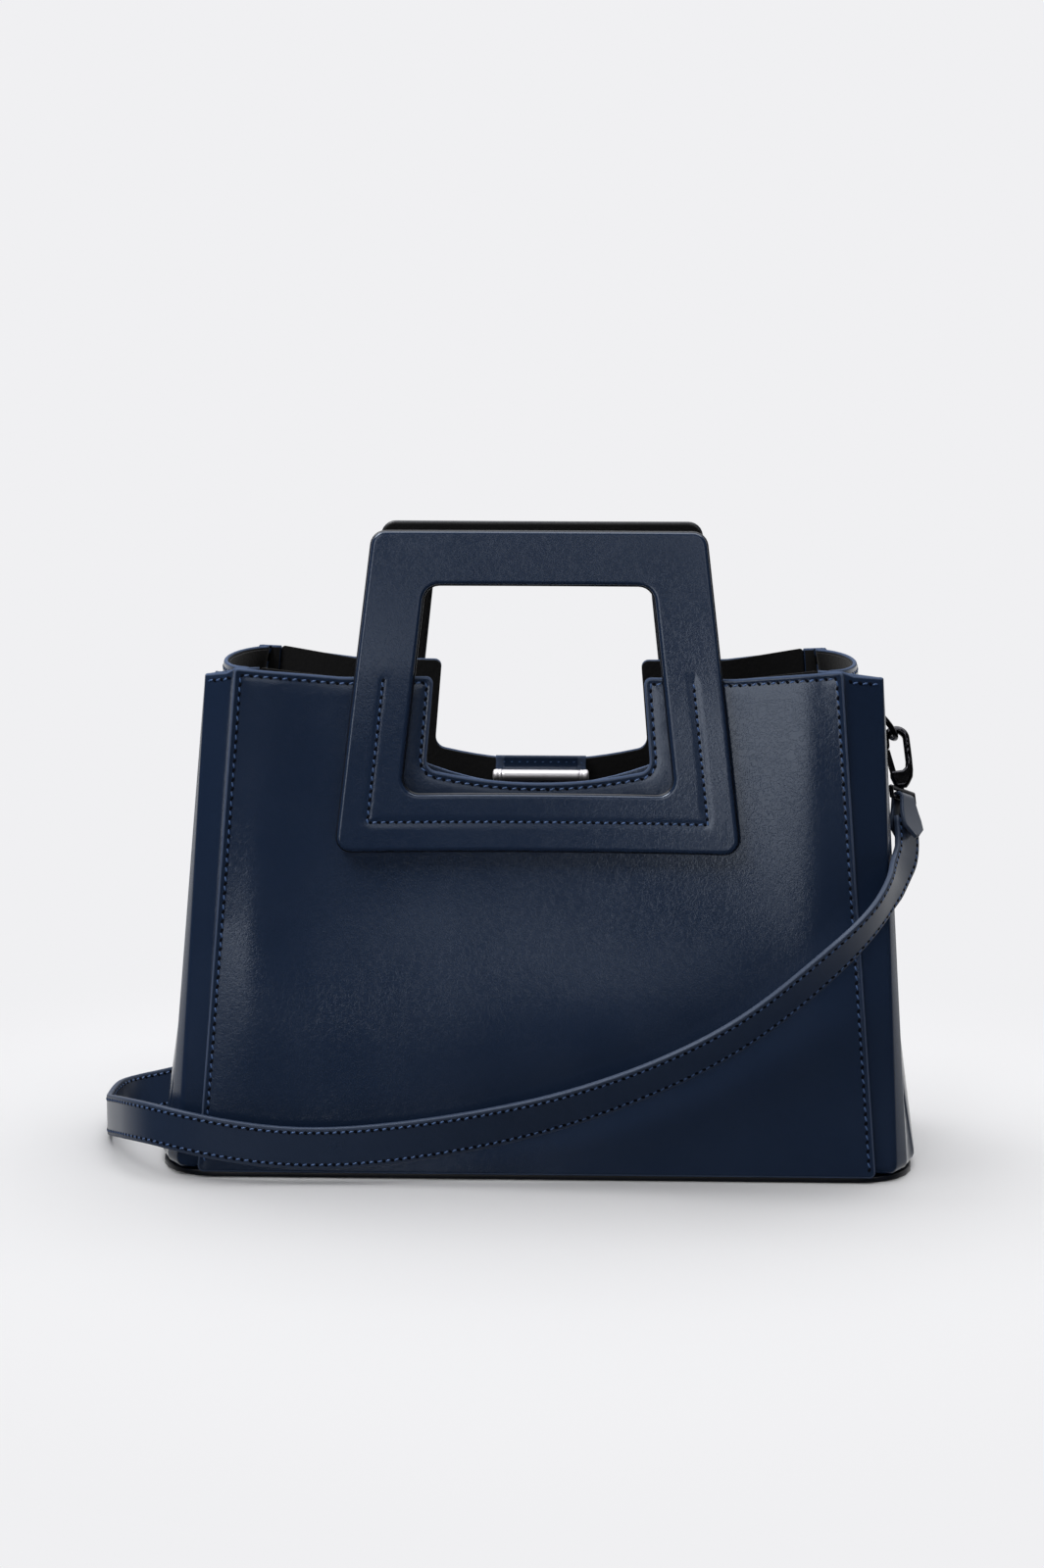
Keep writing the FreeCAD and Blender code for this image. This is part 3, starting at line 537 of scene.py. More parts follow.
def sew(name, rows, pitch):
    """Slanted stitches along rows of (points, outward ways) in millimetres, with beads of painted shade
    for the needle holes between them.
    """
    slant, hole_shade_turn, look_ahead = 0.3, -0.9, 0.2
    thread_size, hole_shade_size = (0.31 * pitch, 0.4, 0.32), (0.27 * pitch, 0.75, 0.24)
    made = []
    for word, first, size, turn, material in (
        ("_thread", 0.5, thread_size, slant, thread),
        # The second kind of bead is painted shade for the needle holes.
        ("_hole_shade", 0, hole_shade_size, slant + hole_shade_turn, hole_shade),
    ):
        spots, outs, alongs = [], [], []
        for points, ways in rows:
            points, ways = np.array(points, float), np.array(ways, float)
            run = lengths_along(points)
            count = max(1, round(run[-1] / pitch))
            marks = (np.arange(count) + first) / count * run[-1]

            def at(values, places):
                return np.stack([np.interp(places, run, values[:, axis]) for axis in range(3)], 1)

            spots += list(at(points, marks) * mm)
            outs += list(at(ways, marks))
            step = look_ahead * pitch
            alongs += list(at(points, marks + step) - at(points, marks - step))
        data = bpy.data.meshes.new(name + word)
        data.from_pydata(spots, [], [])
        for attribute, values in (("out", outs), ("along", alongs)):
            layer = data.attributes.new(attribute, "FLOAT_VECTOR", "POINT")
            layer.data.foreach_set("vector", np.ravel(values))
        guide = bpy.data.objects.new(name + word, data)
        scene.collection.objects.link(guide)
        modifier = guide.modifiers.new("stitching", "NODES")
        modifier.node_group = stitching
        modifier[stitch_sockets["Size"]] = Vector(size) * mm
        modifier[stitch_sockets["Slant"]] = turn
        modifier[stitch_sockets["Material"]] = material
        made.append(baked(guide))
    return made


def sew_on(name, rows, pitch, body="bag"):
    """Stitches that move with that body."""
    for piece in sew(name, rows, pitch):
        attach(piece, None, body)


def left_of(line):
    """The ways to the left of an open line at its points."""
    along = np.gradient(line, axis=0)
    along /= np.linalg.norm(along, axis=1)[:, None]
    return np.stack([-along[:, 1], along[:, 0]], 1)


def beside(row, offsets):
    """Points beside an open row, to carry the channel that its stitches draw in."""
    line = np.array(row)
    return [tuple(p) for offset in offsets for p in line + left_of(line) * offset]


def stepped(row, step):
    """The open row with points a step apart."""
    line = np.array(row, float)
    run = lengths_along(line)
    marks = np.linspace(0, run[-1], max(2, round(run[-1] / step) + 1))
    return [tuple(p) for p in np.stack([np.interp(marks, run, line[:, axis]) for axis in range(2)], 1)]


def channel(row, depth, width):
    """How deep the leather is drawn in at a place near the row."""
    line = np.array(row)

    def sunk(x, y):
        near = ((line - (x, y)) ** 2).sum(1).min()
        return depth * math.exp(-near / width ** 2)
    return sunk


def on_panel(across, up, most=1):
    """How far up the panel a place is, how wide its half is there, and how far out the place is."""
    share = min(max((up - base_leather) / panel_rise, 0), most)
    half = half_foot + (half_top - half_foot) * share
    return share, half, min(abs(across) / half, 1)


def hollow(across, up):
    """How far the panel's sides are drawn forwards of its middle, and rolled back at their seams."""
    share, half, out = on_panel(across, up)
    roll = roll_depth * min(2 * share, 1) * math.exp(-((1 - out) * half / roll_width) ** 2)
    pressed = foot_press * (1 - share) * (out ** 2 - 1)
    return share * (side_draw * out ** 2 + corner_draw * out ** 8 - middle_sink + pressed) - roll


def panel_y(across, up):
    """The y of the front panel's outer face."""
    share, _, out = on_panel(across, up, highest_share)
    swell = math.exp(-((up - belly_height) / belly_spread) ** 2)
    belly = belly_depth * swell * math.cos(out * math.pi / 2)
    return front_foot_y + share * lean_run - hollow(across, up) - belly


def panel_place(side, sunk=None):
    """Sets (across, up, inwards) on the front or the back panel."""
    def place(across, up, deep):
        pull = sunk(across, up) if sunk else 0
        return Vector((across, side * (panel_y(across, up) + deep + pull), up)) * mm
    return place


def sagging(half, corner, sag, count):
    """Points along a hanging edge, from the right to the left."""
    steps = [1 - 2 * k / count for k in range(count + 1)]
    return [(half * s, corner - sag * (1 - s * s), 0) for s in steps]


corners = [(half_foot, base_leather, foot_radius), (half_top, body_height, top_radius)]
corners += [(brim_across, brim, brim_radius), (notch_top, brim, notch_top_radius)]
corners += [(notch_foot, notch_corner, notch_foot_radius)]
mirrored = [(-x, y, r) for x, y, r in corners[::-1]]
sag_half, sag_top = notch_foot - notch_turn, notch_corner - notch_turn_drop
corners += sagging(sag_half, sag_top, notch_sag - notch_turn_drop, 14) + mirrored
panel_loop = fine(rounded(corners), panel_spacing)
sharp_corners = [(x, y, r if r > seam_margin else 0) for x, y, r in corners]
sharp_loop = inset(fine(rounded(sharp_corners), panel_spacing), seam_margin)
panel_row = stepped([p for p in sharp_loop if p[1] > base_leather + row_lift], row_step)
lining_corners = []
for x, y, r in corners:
    if abs(x) > brim_across:
        lining_corners.append((x * lining_share, max(y, lining_foot), r))
    else:
        lining_corners.append((x, y - lining_drop, r))
lining_loop = fine(rounded(lining_corners), lining_side)
lining_edge = [(0, panel_leather), (0, panel_leather + lining_leather)]
panel_edge = [(0.9, 0), (0.45, 0.12), (0.12, 0.45), (0, 0.9), (0, 1.7), (0.2, 2.2)]
panel_edge += [(0.6, panel_leather)]
channel_points = beside(panel_row, channel_offsets)
both_faces = [navy_calf, black_suede]
for word, side in (("front", 1), ("back", -1)):
    place, flat = panel_place(side, channel(panel_row, seam_depth, seam_width)), panel_place(side)
    panel = cut_piece(
        word + "_wall",
        [panel_loop],
        panel_edge,
        panel_spacing,
        place,
        both_faces,
        panel_edge_tone,
        channel_points,
    )
    attach(panel, word + "_panel", "bag")
    suede = cut_piece(word + "_suede", [lining_loop], lining_edge, lining_spacing, flat, [black_suede])
    attach(suede, word + "_lining", "bag")
    points = [place(x, y, 0) / mm for x, y in panel_row]
    sew_on(word + "_wall", [(points, [(0, -side, 0.1)] * len(points))], seam_pitch)

# Gussets
# A soft side of thinner calf: a flange sewn under each panel's edge, a wing folded beyond it, then
# a rounded side between the nips, open at the top where its rim is topstitched, suede inside.
gusset_leather, flange_wide, flange_y = 1.8, 10, 2.7
wing_reach, wing_turn, wing_fold, wing_bend, fold_bend = 14, 4.5, 3.8, 12, 1.9
top_wing_y, top_nip, top_nip_y, top_reach = -48 + flange_y, 5.5, 1.6, 15
foot_wing, foot_wing_y, foot_wing_bend = 8.5, 0.3, 4.5
foot_side, foot_side_y, foot_side_bend = 14.5, -45.5, 6
foot_nip, foot_nip_y, foot_reach = 19, -32, 2
toe_heights, side_from, side_rows = [0, 1, 2, 3.5, 5, 8], 14, 34
front_drop, back_drop, drop_width = 3, 6.5, 6
right_spread, left_spread = 3.5, -0.8
side_steps, toe_radius, rim_tone, rim_row_drop, suede_drop = 30, 5.0, 0.35, 3, 1.5


def bent_line(corners, steps=7):
    """The open line through corners (x, y, radius), with as many points whatever the radii."""
    points = [Vector(c[:2]) for c in corners]
    line = [points[0]]
    for before, here, after, corner in zip(points, points[1:], points[2:], corners[1:]):
        back, ahead = before - here, after - here
        cut = corner[2] * math.tan((math.pi - back.angle(ahead)) / 2)
        cut = min(cut, 0.48 * min(back.length, ahead.length))
        start, end = here + back.normalized() * cut, here + ahead.normalized() * cut
        for k in range(steps):
            t = k / (steps - 1)
            line.append(start * (1 - t) ** 2 + here * (2 * t * (1 - t)) + end * t ** 2)
    return line + [points[-1]]


def gusset_line(wing, nip, reach):
    """The right gusset's section: the wing's corners, then half an ellipse from nip to nip."""
    front = [(p.x, p.y) for p in bent_line(wing + [(*nip, 0)])]
    swings = [math.pi * k / side_steps for k in range(1, side_steps)]
    middle = [(nip[0] + reach * math.sin(t), nip[1] * math.cos(t)) for t in swings]
    return np.array(front + middle + [(x, -y) for x, y in front[::-1]])


top_flange = panel_y(half_top - flange_wide, body_height) + flange_y
gusset_top = gusset_line(
    [
        (half_top - flange_wide, top_flange, 0),
        (half_top, top_wing_y, wing_bend),
        (half_top + wing_reach, top_wing_y + wing_turn, fold_bend),
        (half_top + wing_reach, top_wing_y + wing_turn + wing_fold, fold_bend),
    ],
    (half_top - top_nip, top_flange + top_nip_y),
    top_reach,
)
foot_flange = front_foot_y + flange_y
gusset_foot = gusset_line(
    [
        (half_foot - flange_wide, foot_flange, 0),
        (half_foot, foot_flange, wing_bend),
        (half_foot + foot_wing, foot_flange + foot_wing_y, foot_wing_bend),
        (half_foot + foot_side, foot_side_y, foot_side_bend),
    ],
    (half_foot + foot_nip, foot_nip_y),
    foot_reach,
)
front_count = (len(gusset_top) - side_steps + 1) // 2
places = np.arange(len(gusset_top))
past_panel = gusset_top[:, 0] - half_top
front_wing = np.where(places < front_count, past_panel, 0)
back_wing = np.where(places >= len(gusset_top) - front_count, past_panel, 0)
wing_drop = front_drop * np.clip(front_wing / drop_width, 0, 1)
wing_drop += back_drop * np.clip(back_wing / drop_width, 0, 1)
wing_share = np.clip(front_wing / wing_reach, 0, 1)
wing_spread = {1: right_spread * wing_share, -1: left_spread * wing_share}


def gusset_row(side, height, inwards):
    """The section at a height on the right or the left, moved inwards, and its outward ways."""
    share = height / panel_rise
    line = gusset_foot + (gusset_top - gusset_foot) * share
    left = left_of(line)
    toe = toe_radius - math.sqrt(max(0, toe_radius ** 2 - max(0, toe_radius - height) ** 2))
    line = line + left * (inwards + toe)
    across = side * (line[:, 0] + wing_spread[side] * share)
    up = base_leather + height - wing_drop * share ** 6
    ways = np.stack([-side * left[:, 0], -left[:, 1], np.full(len(left), 0.1)], 1)
    return np.stack([across, line[:, 1], up], 1), ways


def side_sheet(name, start, thick, skip, top, materials):
    """A sheet of the gusset's shape, from start inwards, with a rounded rim, on both sides."""
    rise = top - base_leather - thick / 2
    heights = toe_heights + list(np.linspace(side_from, rise, side_rows))
    spins = [math.pi * k / 6 for k in range(1, 6)]
    outer = [(h, start) for h in heights]
    inner = [(h, start + thick) for h in heights]
    rims = [(rise + thick / 2 * math.sin(t), start + thick / 2 * (1 - math.cos(t))) for t in spins]
    made = []
    for word, side in (("right", 1), ("left", -1)):
        mesh = bmesh.new()
        rim = mesh.verts.layers.float.new("rim")
        rows = []
        for index, (height, inwards) in enumerate(outer + rims + inner[::-1]):
            points, _ = gusset_row(side, height, inwards)
            verts = [mesh.verts.new(p * mm) for p in points[skip:len(points) - skip]]
            for vert in verts:
                # The rim rows are drawn paler: partly the raw edge's own colour, partly a painted
                # highlight along it.
                vert[rim] = rim_tone if len(outer) <= index < len(outer) + len(rims) else 0
            rows.append(verts)
        for index, (upper, lower) in enumerate(zip(rows, rows[1:] + rows[:1])):
            for k in range(1, len(upper)):
                face = mesh.faces.new((upper[k - 1], upper[k], lower[k], lower[k - 1]))
                face.material_index = len(materials) - 1 if index >= len(outer) + len(rims) else 0
        for k in (0, -1):
            strip = [line[k] for line in rows]
            for a in range(len(heights) - 1):
                mesh.faces.new((strip[a], strip[a + 1], strip[-a - 2], strip[-a - 1]))
            mesh.faces.new(strip[len(heights) - 1:len(heights) + len(rims) + 1])
        made.append((word, side, show(mesh, word + "_" + name, *materials)))
    return made


for word, side, sheet in side_sheet("side", 0, gusset_leather, 0, body_height, both_faces):
    attach(sheet, word + "_gusset", "bag")
    spots, ways = gusset_row(side, panel_rise - rim_row_drop, 0)
    wing_run, rim_run = slice(6, 9), slice(front_count, len(spots) - front_count)
    sew_on(word + "_side", [(spots[run], ways[run]) for run in (wing_run, rim_run)], seam_pitch)
suede_size = (gusset_leather, lining_leather, front_count, body_height - suede_drop)
for word, _, sheet in side_sheet("side_suede", *suede_size, [black_suede]):
    attach(sheet, word + "_gusset_lining", "bag")

# Handles
# A frame of stiff board between a calf facing with softened edges and a black suede back, its cut
# edges painted dark, sewn to the panel in a U through all its layers. The painted edge stands a little
# proud of the facing, so its dark line is also painted shade for the shadow line round the handle.
lean = math.atan2(lean_run, panel_rise)
handle_low, handle_tall, handle_out, handle_radius = 137.0, 134.0, 5.0, 6
handle_half_low, handle_half_top = 84.7, 69.3
frame_side, frame_top, frame_foot, frame_turn, window_radius = 24, 22, 23.7, 25, 7
free_from, free_over, free_share = 185, 85, 0.7
row_foot, row_top, row_half_foot, row_half_top = 149.2, 209, 71.3, 64.7
row_pitch, row_depth, core_face, suede_face = 3.6, 0.3, 3.2, 1.2
row_offsets = (-3.5, -2.3, -1.1, 0, 1.1, 2.3, 3.5)
facing_spacing, core_spacing = 5, 9


def lean_place(side, sunk=None):
    """Sets (across, along the panel, outwards of it) on the front or the back."""
    def place(across, along, out):
        stand = out - (sunk(across, along) if sunk else 0)
        free = min(max((along - free_from) / free_over, 0), 1)
        bowed = hollow(across, along) * (1 - free_share * free)
        y = front_foot_y - bowed - stand * math.cos(lean) + along * math.sin(lean)
        z = base_leather + stand * math.sin(lean) + along * math.cos(lean)
        return Vector((across, side * y, z)) * mm
    return place


slant = (handle_half_low - handle_half_top) / handle_tall
window_low, window_high = handle_low + frame_foot, handle_low + handle_tall - frame_top
window_half_low = handle_half_low - slant * frame_turn - frame_side
window_half_high = handle_half_top + slant * frame_top - frame_side
handle_corners = [
    (-handle_half_low, handle_low, handle_radius),
    (handle_half_low, handle_low, handle_radius),
    (handle_half_top, handle_low + handle_tall, handle_radius),
    (-handle_half_top, handle_low + handle_tall, handle_radius),
]
window_corners = [
    (-window_half_low, window_low, window_radius),
    (-window_half_high, window_high, window_radius),
    (window_half_high, window_high, window_radius),
    (window_half_low, window_low, window_radius),
]
handle_loops = [fine(rounded(loop), facing_spacing) for loop in (handle_corners, window_corners)]
half_row = [(row_half_top, row_top), (row_half_foot, row_foot)]
handle_row = stepped([(-x, z) for x, z in half_row] + half_row[::-1], row_step)
channel_points = beside(handle_row, row_offsets)
facing_edge = [(1.5, handle_out), (0.85, 4.92), (0.4, 4.7), (0.1, 4.3), (0, 3.8), (0, core_face)]
# The edge paint stands 0.6 mm proud of the facing: a real painted edge, and painted shade for the shadow
# line round the handle.
core_edge = [(0, core_face), (-0.6, 2.8), (-0.6, 1.6), (0, suede_face)]
suede_edge = [(0, suede_face), (0, 0.4), (0.4, 0)]
for word, side in (("front", 1), ("back", -1)):
    place, flat = lean_place(side, channel(handle_row, row_depth, seam_width)), lean_place(side)
    name = word + "_handle_"
    facing = cut_piece(
        name + "calf",
        handle_loops,
        facing_edge,
        facing_spacing,
        place,
        [navy_calf],
        extra=channel_points,
    )
    attach(facing, name + "facing", "bag")
    core = cut_piece(name + "edge", handle_loops, core_edge, core_spacing, flat, [edge_paint_and_shade])
    attach(core, name + "core", "bag")
    back = cut_piece(name + "suede", handle_loops, suede_edge, core_spacing, flat, [black_suede])
    attach(back, name + "lining", "bag")
    points = [place(x, z, handle_out) / mm for x, z in handle_row]
    sew_on(word + "_handle", [(points, [(0, -side, 0.11)] * len(points))], row_pitch)

# Facing strip behind the front cut-out
# A strip of calf sewn inside the front below its cut-out, its upper edge left raw and drawn pale,
# partly its own colour and partly a painted highlight along it.
strip_half, strip_low, strip_corner, strip_sag = 58, 156.5, 179.5, 14
strip_radius, strip_edge_tone, strip_spacing = 2, 0.8, 6
strip_edge = sagging(strip_half, strip_corner, strip_sag, 18)
strip_foot = [(side * strip_half, strip_low, strip_radius) for side in (-1, 1)]
strip_loop = fine(rounded(strip_foot + strip_edge), panel_spacing)
strip_profile = [(0.3, 4.8), (0, 4.4), (0, 3.4), (0.2, 3.2)]
strip = cut_piece(
    "notch_strip",
    [strip_loop],
    strip_profile,
    strip_spacing,
    panel_place(1),
    [navy_calf],
    strip_edge_tone,
)
attach(strip, "notch_facing", "bag")

# Closing tab and bar
# A short calf tab hangs inside the back cut-out and curls round a bright nickel bar, whose ends
# carry pressed collars.


def band(name, middles, wides, halves, half_thick, edge_tone=0.1, face_tone=0):
    """A strip of calf along middles, as wide as halves either way along wides, its edges rounded.
    The tones say how pale and dull its edges and its faces are; the paler edges are partly a painted
    highlight along them."""
    middles, wides = np.array(middles, float), np.array(wides, float)
    along = np.gradient(middles, axis=0)
    along /= np.linalg.norm(along, axis=1)[:, None]
    wides = wides - along * (wides * along).sum(1)[:, None]
    wides /= np.linalg.norm(wides, axis=1)[:, None]
    ups = np.cross(along, wides)
    corner = 0.55 * half_thick
    turns = [math.pi / 2 * k / 3 for k in range(4)]
    quarter = [(corner * (1 - math.sin(t)), corner * (1 - math.cos(t))) for t in turns]
    section = [(1, -gap, sink - half_thick, edge_tone) for gap, sink in quarter]
    section += [(1, -gap, half_thick - sink, edge_tone) for gap, sink in quarter[::-1]]
    section += [(share, 0, half_thick, face_tone) for share in (0.8, 0.3, -0.3, -0.8)]
    section += [(-share, -shift, -height, tone) for share, shift, height, tone in section]
    mesh = bmesh.new()
    rim = mesh.verts.layers.float.new("rim")
    rows = []
    for middle, wide, up, half in zip(middles, wides, ups, halves):
        row = []
        for share, shift, height, tone in section:
            vert = mesh.verts.new((middle + wide * (half * share + shift) + up * height) * mm)
            vert[rim] = tone
            row.append(vert)
        rows.append(row)
    skin(mesh, rows, capped=True)
    return show(mesh, name, navy_calf), middles, wides, ups


# Nickel on brass, buffed along its length: pale, slightly warm, with fine drawn lines.
line_length, line_width = 50 / 3 * mm, 1 / 3 * mm
nickel, tree, spot = new_material("bright_nickel_plate")
line_scale = (1 / line_length, 1 / line_width, 1 / line_width)
stretch = add_node(tree, "ShaderNodeMapping", {"Vector": spot, "Scale": line_scale})
drawn = add_node(tree, "ShaderNodeTexNoise", {"Vector": stretch, "Scale": 1, "Detail": 2})
buffed = add_node(tree, "ShaderNodeMapRange", {"Value": drawn, "To Min": 0.45, "To Max": 0.6})
look = {"Base Color": linear("#e6e4e8"), "Metallic": 1, "Roughness": buffed}
plating = add_node(tree, "ShaderNodeBsdfPrincipled", look)
add_node(tree, "ShaderNodeOutputMaterial", {"Surface": plating})

back_place = lean_place(-1)
bar_depth, bar_along, bar_half, bar_radius, bar_bevel, bar_end = 7.65, 159.7, 17.3, 2.5, 0.1, 2.3
tab_along, tab_depth, tab_half, tab_half_thick = 167.7, 4.2, 20, 0.7
tab_row_half, tab_row_drop, tab_row_end, tab_pitch, tab_tone = 18, 2.6, 8, 3.4, 0.3
curl_radius = bar_depth - tab_depth
curl = [(tab_depth, tab_along - k) for k in range(0, 9)]
for turn in np.linspace(0.1, 2.0, 14):
    curl.append((bar_depth - curl_radius * math.cos(turn), bar_along - curl_radius * math.sin(turn)))
tab_middles = [back_place(0, along, -deep) / mm for deep, along in curl]
tab_wides, tab_halves = [(1, 0, 0)] * len(curl), [tab_half] * len(curl)
tab, *_ = band("closing_tab", tab_middles, tab_wides, tab_halves, tab_half_thick, tab_tone)
attach(tab, "closure_tab", "closure")
tab_row_top = tab_along - tab_row_drop
tab_row = [(-tab_row_half, tab_row_top), (tab_row_half, tab_row_top)]
tab_row += [(tab_row_half, tab_along - tab_row_end)]
tab_points = [back_place(x, along, -tab_depth - tab_half_thick) / mm for x, along in tab_row]
sew_on("closing_tab", [(tab_points, [(0, -1, 0)] * len(tab_row))], tab_pitch, "closure")


def turned(name, stations, middle, material):
    """A turned piece along x: stations of (x, radius) about a middle point."""
    mesh = bmesh.new()
    sides = 28
    spins = [2 * math.pi * k / sides for k in range(sides)]
    rows = []
    for x, radius in stations:
        ring = [(x, middle.y + radius * math.cos(a), middle.z + radius * math.sin(a)) for a in spins]
        rows.append([mesh.verts.new(Vector(p) * mm) for p in ring])
    skin(mesh, rows, capped=True)
    return show(mesh, name, material)


bar_middle = back_place(0, bar_along, -bar_depth) / mm
half_bar = [(x, bar_radius) for x in (0, 4, 8, 12, 16, bar_half - bar_bevel)] + [(bar_half, bar_end)]
bar_line = [(-x, radius) for x, radius in half_bar[:0:-1]] + half_bar
bar = turned("closing_bar", bar_line, bar_middle, nickel)
attach(bar, "closure_bar", "closure")
collar = [(bar_half, bar_end), (17.4, 2.65), (17.7, 2.7), (18.3, 2.7), (18.6, 2.45)]
collar += [(18.9, 2.7), (20.0, 2.7), (20.7, 2.5), (21.1, 2.0), (21.3, 1.2)]
for word, side in (("right", 1), ("left", -1)):
    cap = turned(word + "_bar_cap", [(side * x, r) for x, r in collar], bar_middle, nickel)
    attach(cap, "closure_caps" if side == 1 else None, "closure")

# Ring tabs, rivets and D-rings
# A calf tab folded round each D-ring's bar and held to the gusset by a domed nickel rivet on which
# it can turn; the rings and clasps are cast zinc plated in polished gunmetal.
joints = {joint["name"]: joint for joint in frame["record"]["behaviour"]["joints"]}
side_run = 28.5
side_lean = math.atan2(side_run, panel_rise)
loop_height, loop_x, rivet_rise = 193.5, 139.0, 8.0
ring_tab_half, ring_tab_top, ring_tab_half_thick = 7.0, 13.6, 0.8
ring_bar_out, ring_fold, tab_inside, tab_outside = 2.95, 2.05, 0.9, 2.5
tab_tip, tab_taper = 2, 1.2

# Dark plating over cast zinc: a grey mirror with faint polishing waves.
haze_size = 3 * mm
gunmetal, tree, spot = new_material("polished_gunmetal_plate")
haze = add_node(tree, "ShaderNodeTexNoise", {"Vector": spot, "Scale": 1 / haze_size, "Detail": 3})
shades = {0: haze, 6: linear("#26262a"), 7: linear("#4a4a4f")}
colour = add_node(tree, "ShaderNodeMix", shades, data_type="RGBA")
gloss = add_node(tree, "ShaderNodeMapRange", {"Value": haze, "To Min": 0.12, "To Max": 0.26})
look = {"Base Color": colour, "Metallic": 1, "Roughness": gloss}
plating = add_node(tree, "ShaderNodeBsdfPrincipled", look)
add_node(tree, "ShaderNodeOutputMaterial", {"Surface": plating})


def ring_place(side, degrees):
    """Sets (out of the gusset's side, back, up from the loop) on the right or the left tab."""
    stand = Matrix.Translation((loop_x, 0, loop_height)) @ Matrix.Rotation(-side_lean, 4, "Y")
    rivet = stand @ Vector((0, 0, rivet_rise))
    axis = Vector((math.cos(side_lean), 0, math.sin(side_lean)))
    swing = Matrix.Rotation(math.radians(degrees), 4, axis)
    mirror = Matrix.Scale(side, 4, (1, 0, 0))
    return mirror @ Matrix.Translation(rivet) @ swing @ Matrix.Translation(-rivet) @ stand


for word, side, degrees in (("right", 1, -25), ("left", -1, 57)):
    hold = ring_place(side, degrees)
    turns = np.linspace(0, math.pi, 13)
    fold = [(tab_inside, z) for z in np.linspace(ring_tab_top, 0.5, 9)]
    fold += [(ring_bar_out - ring_fold * math.cos(t), -ring_fold * math.sin(t)) for t in turns]
    fold += [(4.9, 1), (4.5, 2.2), (3.7, 3.8), (2.9, 5.6), (2.55, 7.4)]
    fold += [(tab_outside, z) for z in np.linspace(9, ring_tab_top, 4)]
    middles = [hold @ Vector((x, 0, z)) for x, z in fold]
    across = (hold.to_3x3() @ Vector((0, 1, 0)))[:]
    halves = [ring_tab_half - max(0, z - ring_tab_top + tab_tip) * tab_taper for x, z in fold]
    tab, *_ = band(word + "_tab", middles, [across] * len(fold), halves, ring_tab_half_thick)
    attach(tab, word + "_ring_tab", "bag")
    for node, finish in (
        ("tab_rivet", nickel),
        ("dring", gunmetal),
        ("gate", gunmetal),
        ("gate_pin", gunmetal),
        ("gate_spring", nickel),
        ("swivel_eye", gunmetal),
    ):
        data = frame["nodes"][word + "_" + node].data
        data.materials.clear()
        data.materials.append(finish)

# Lobster hooks and strap ends
# The claw is cast: an arch over the ring, a spine on its outer side and a heel that swivels on the eye.
# The strap's leather end folds over the eye, and its two pointed flaps hold the strap between them.
arch_height, hole_radius, claw_half, claw_side, claw_spacing = 21.4, 2.9, 5.8, 1.2, 1.4
claw = [(-2.2, 0), (2.2, 0), (3.4, 1.2), (5.2, 4.2), (5.7, 7), (5.85, 12), (5.85, 17)]
claw += [(claw_half, arch_height)]
turns = np.linspace(0.15, math.pi - 0.15, 14)
claw += [(claw_half * math.cos(t), arch_height + claw_half * math.sin(t)) for t in turns]
claw += [(-claw_half, arch_height), (-5.75, 19.2), (-5.3, 17.8), (-4.4, 17.2), (-3.5, 17.4)]
claw += [(-3.0, 18.3), (-2.9, 19.8), (-hole_radius, arch_height)]
claw += [(-hole_radius * math.cos(t), arch_height + hole_radius * math.sin(t)) for t in turns]
claw += [(hole_radius, arch_height), (2.9, 16), (2.9, 11), (2.5, 8.6), (1.2, 7.5), (-0.5, 7.4)]
claw += [(-3.6, 7.4), (-4.2, 6.6), (-4.2, 5.0), (-3.6, 3.2), (-2.9, 1.2)]
claw_loop = fine(claw, claw_side)
claw_edge = [(1.1, -2.3), (0.6, -2.15), (0.25, -1.8), (0.05, -1.3), (0, -0.6)]
claw_edge += [(margin, -deep) for margin, deep in claw_edge[::-1]]
slot_across, slot_along, slot_deep = (-5, -0.3), (4.2, 9), (-1.4, 1.4)
gate_slot = [(a, b, c) for a in slot_across for b in slot_along for c in slot_deep]
eye_low, flap_length, flap_fold, flap_spread, flap_half_thick = -5.3, 17.5, 2.1, 2.0, 0.8
flap_neck, flap_widening, flap_tip, flap_taper = 5.4, 2.6, 0.12, 3.4
strap_edge_tone, strap_tone = 0.1, 0.028
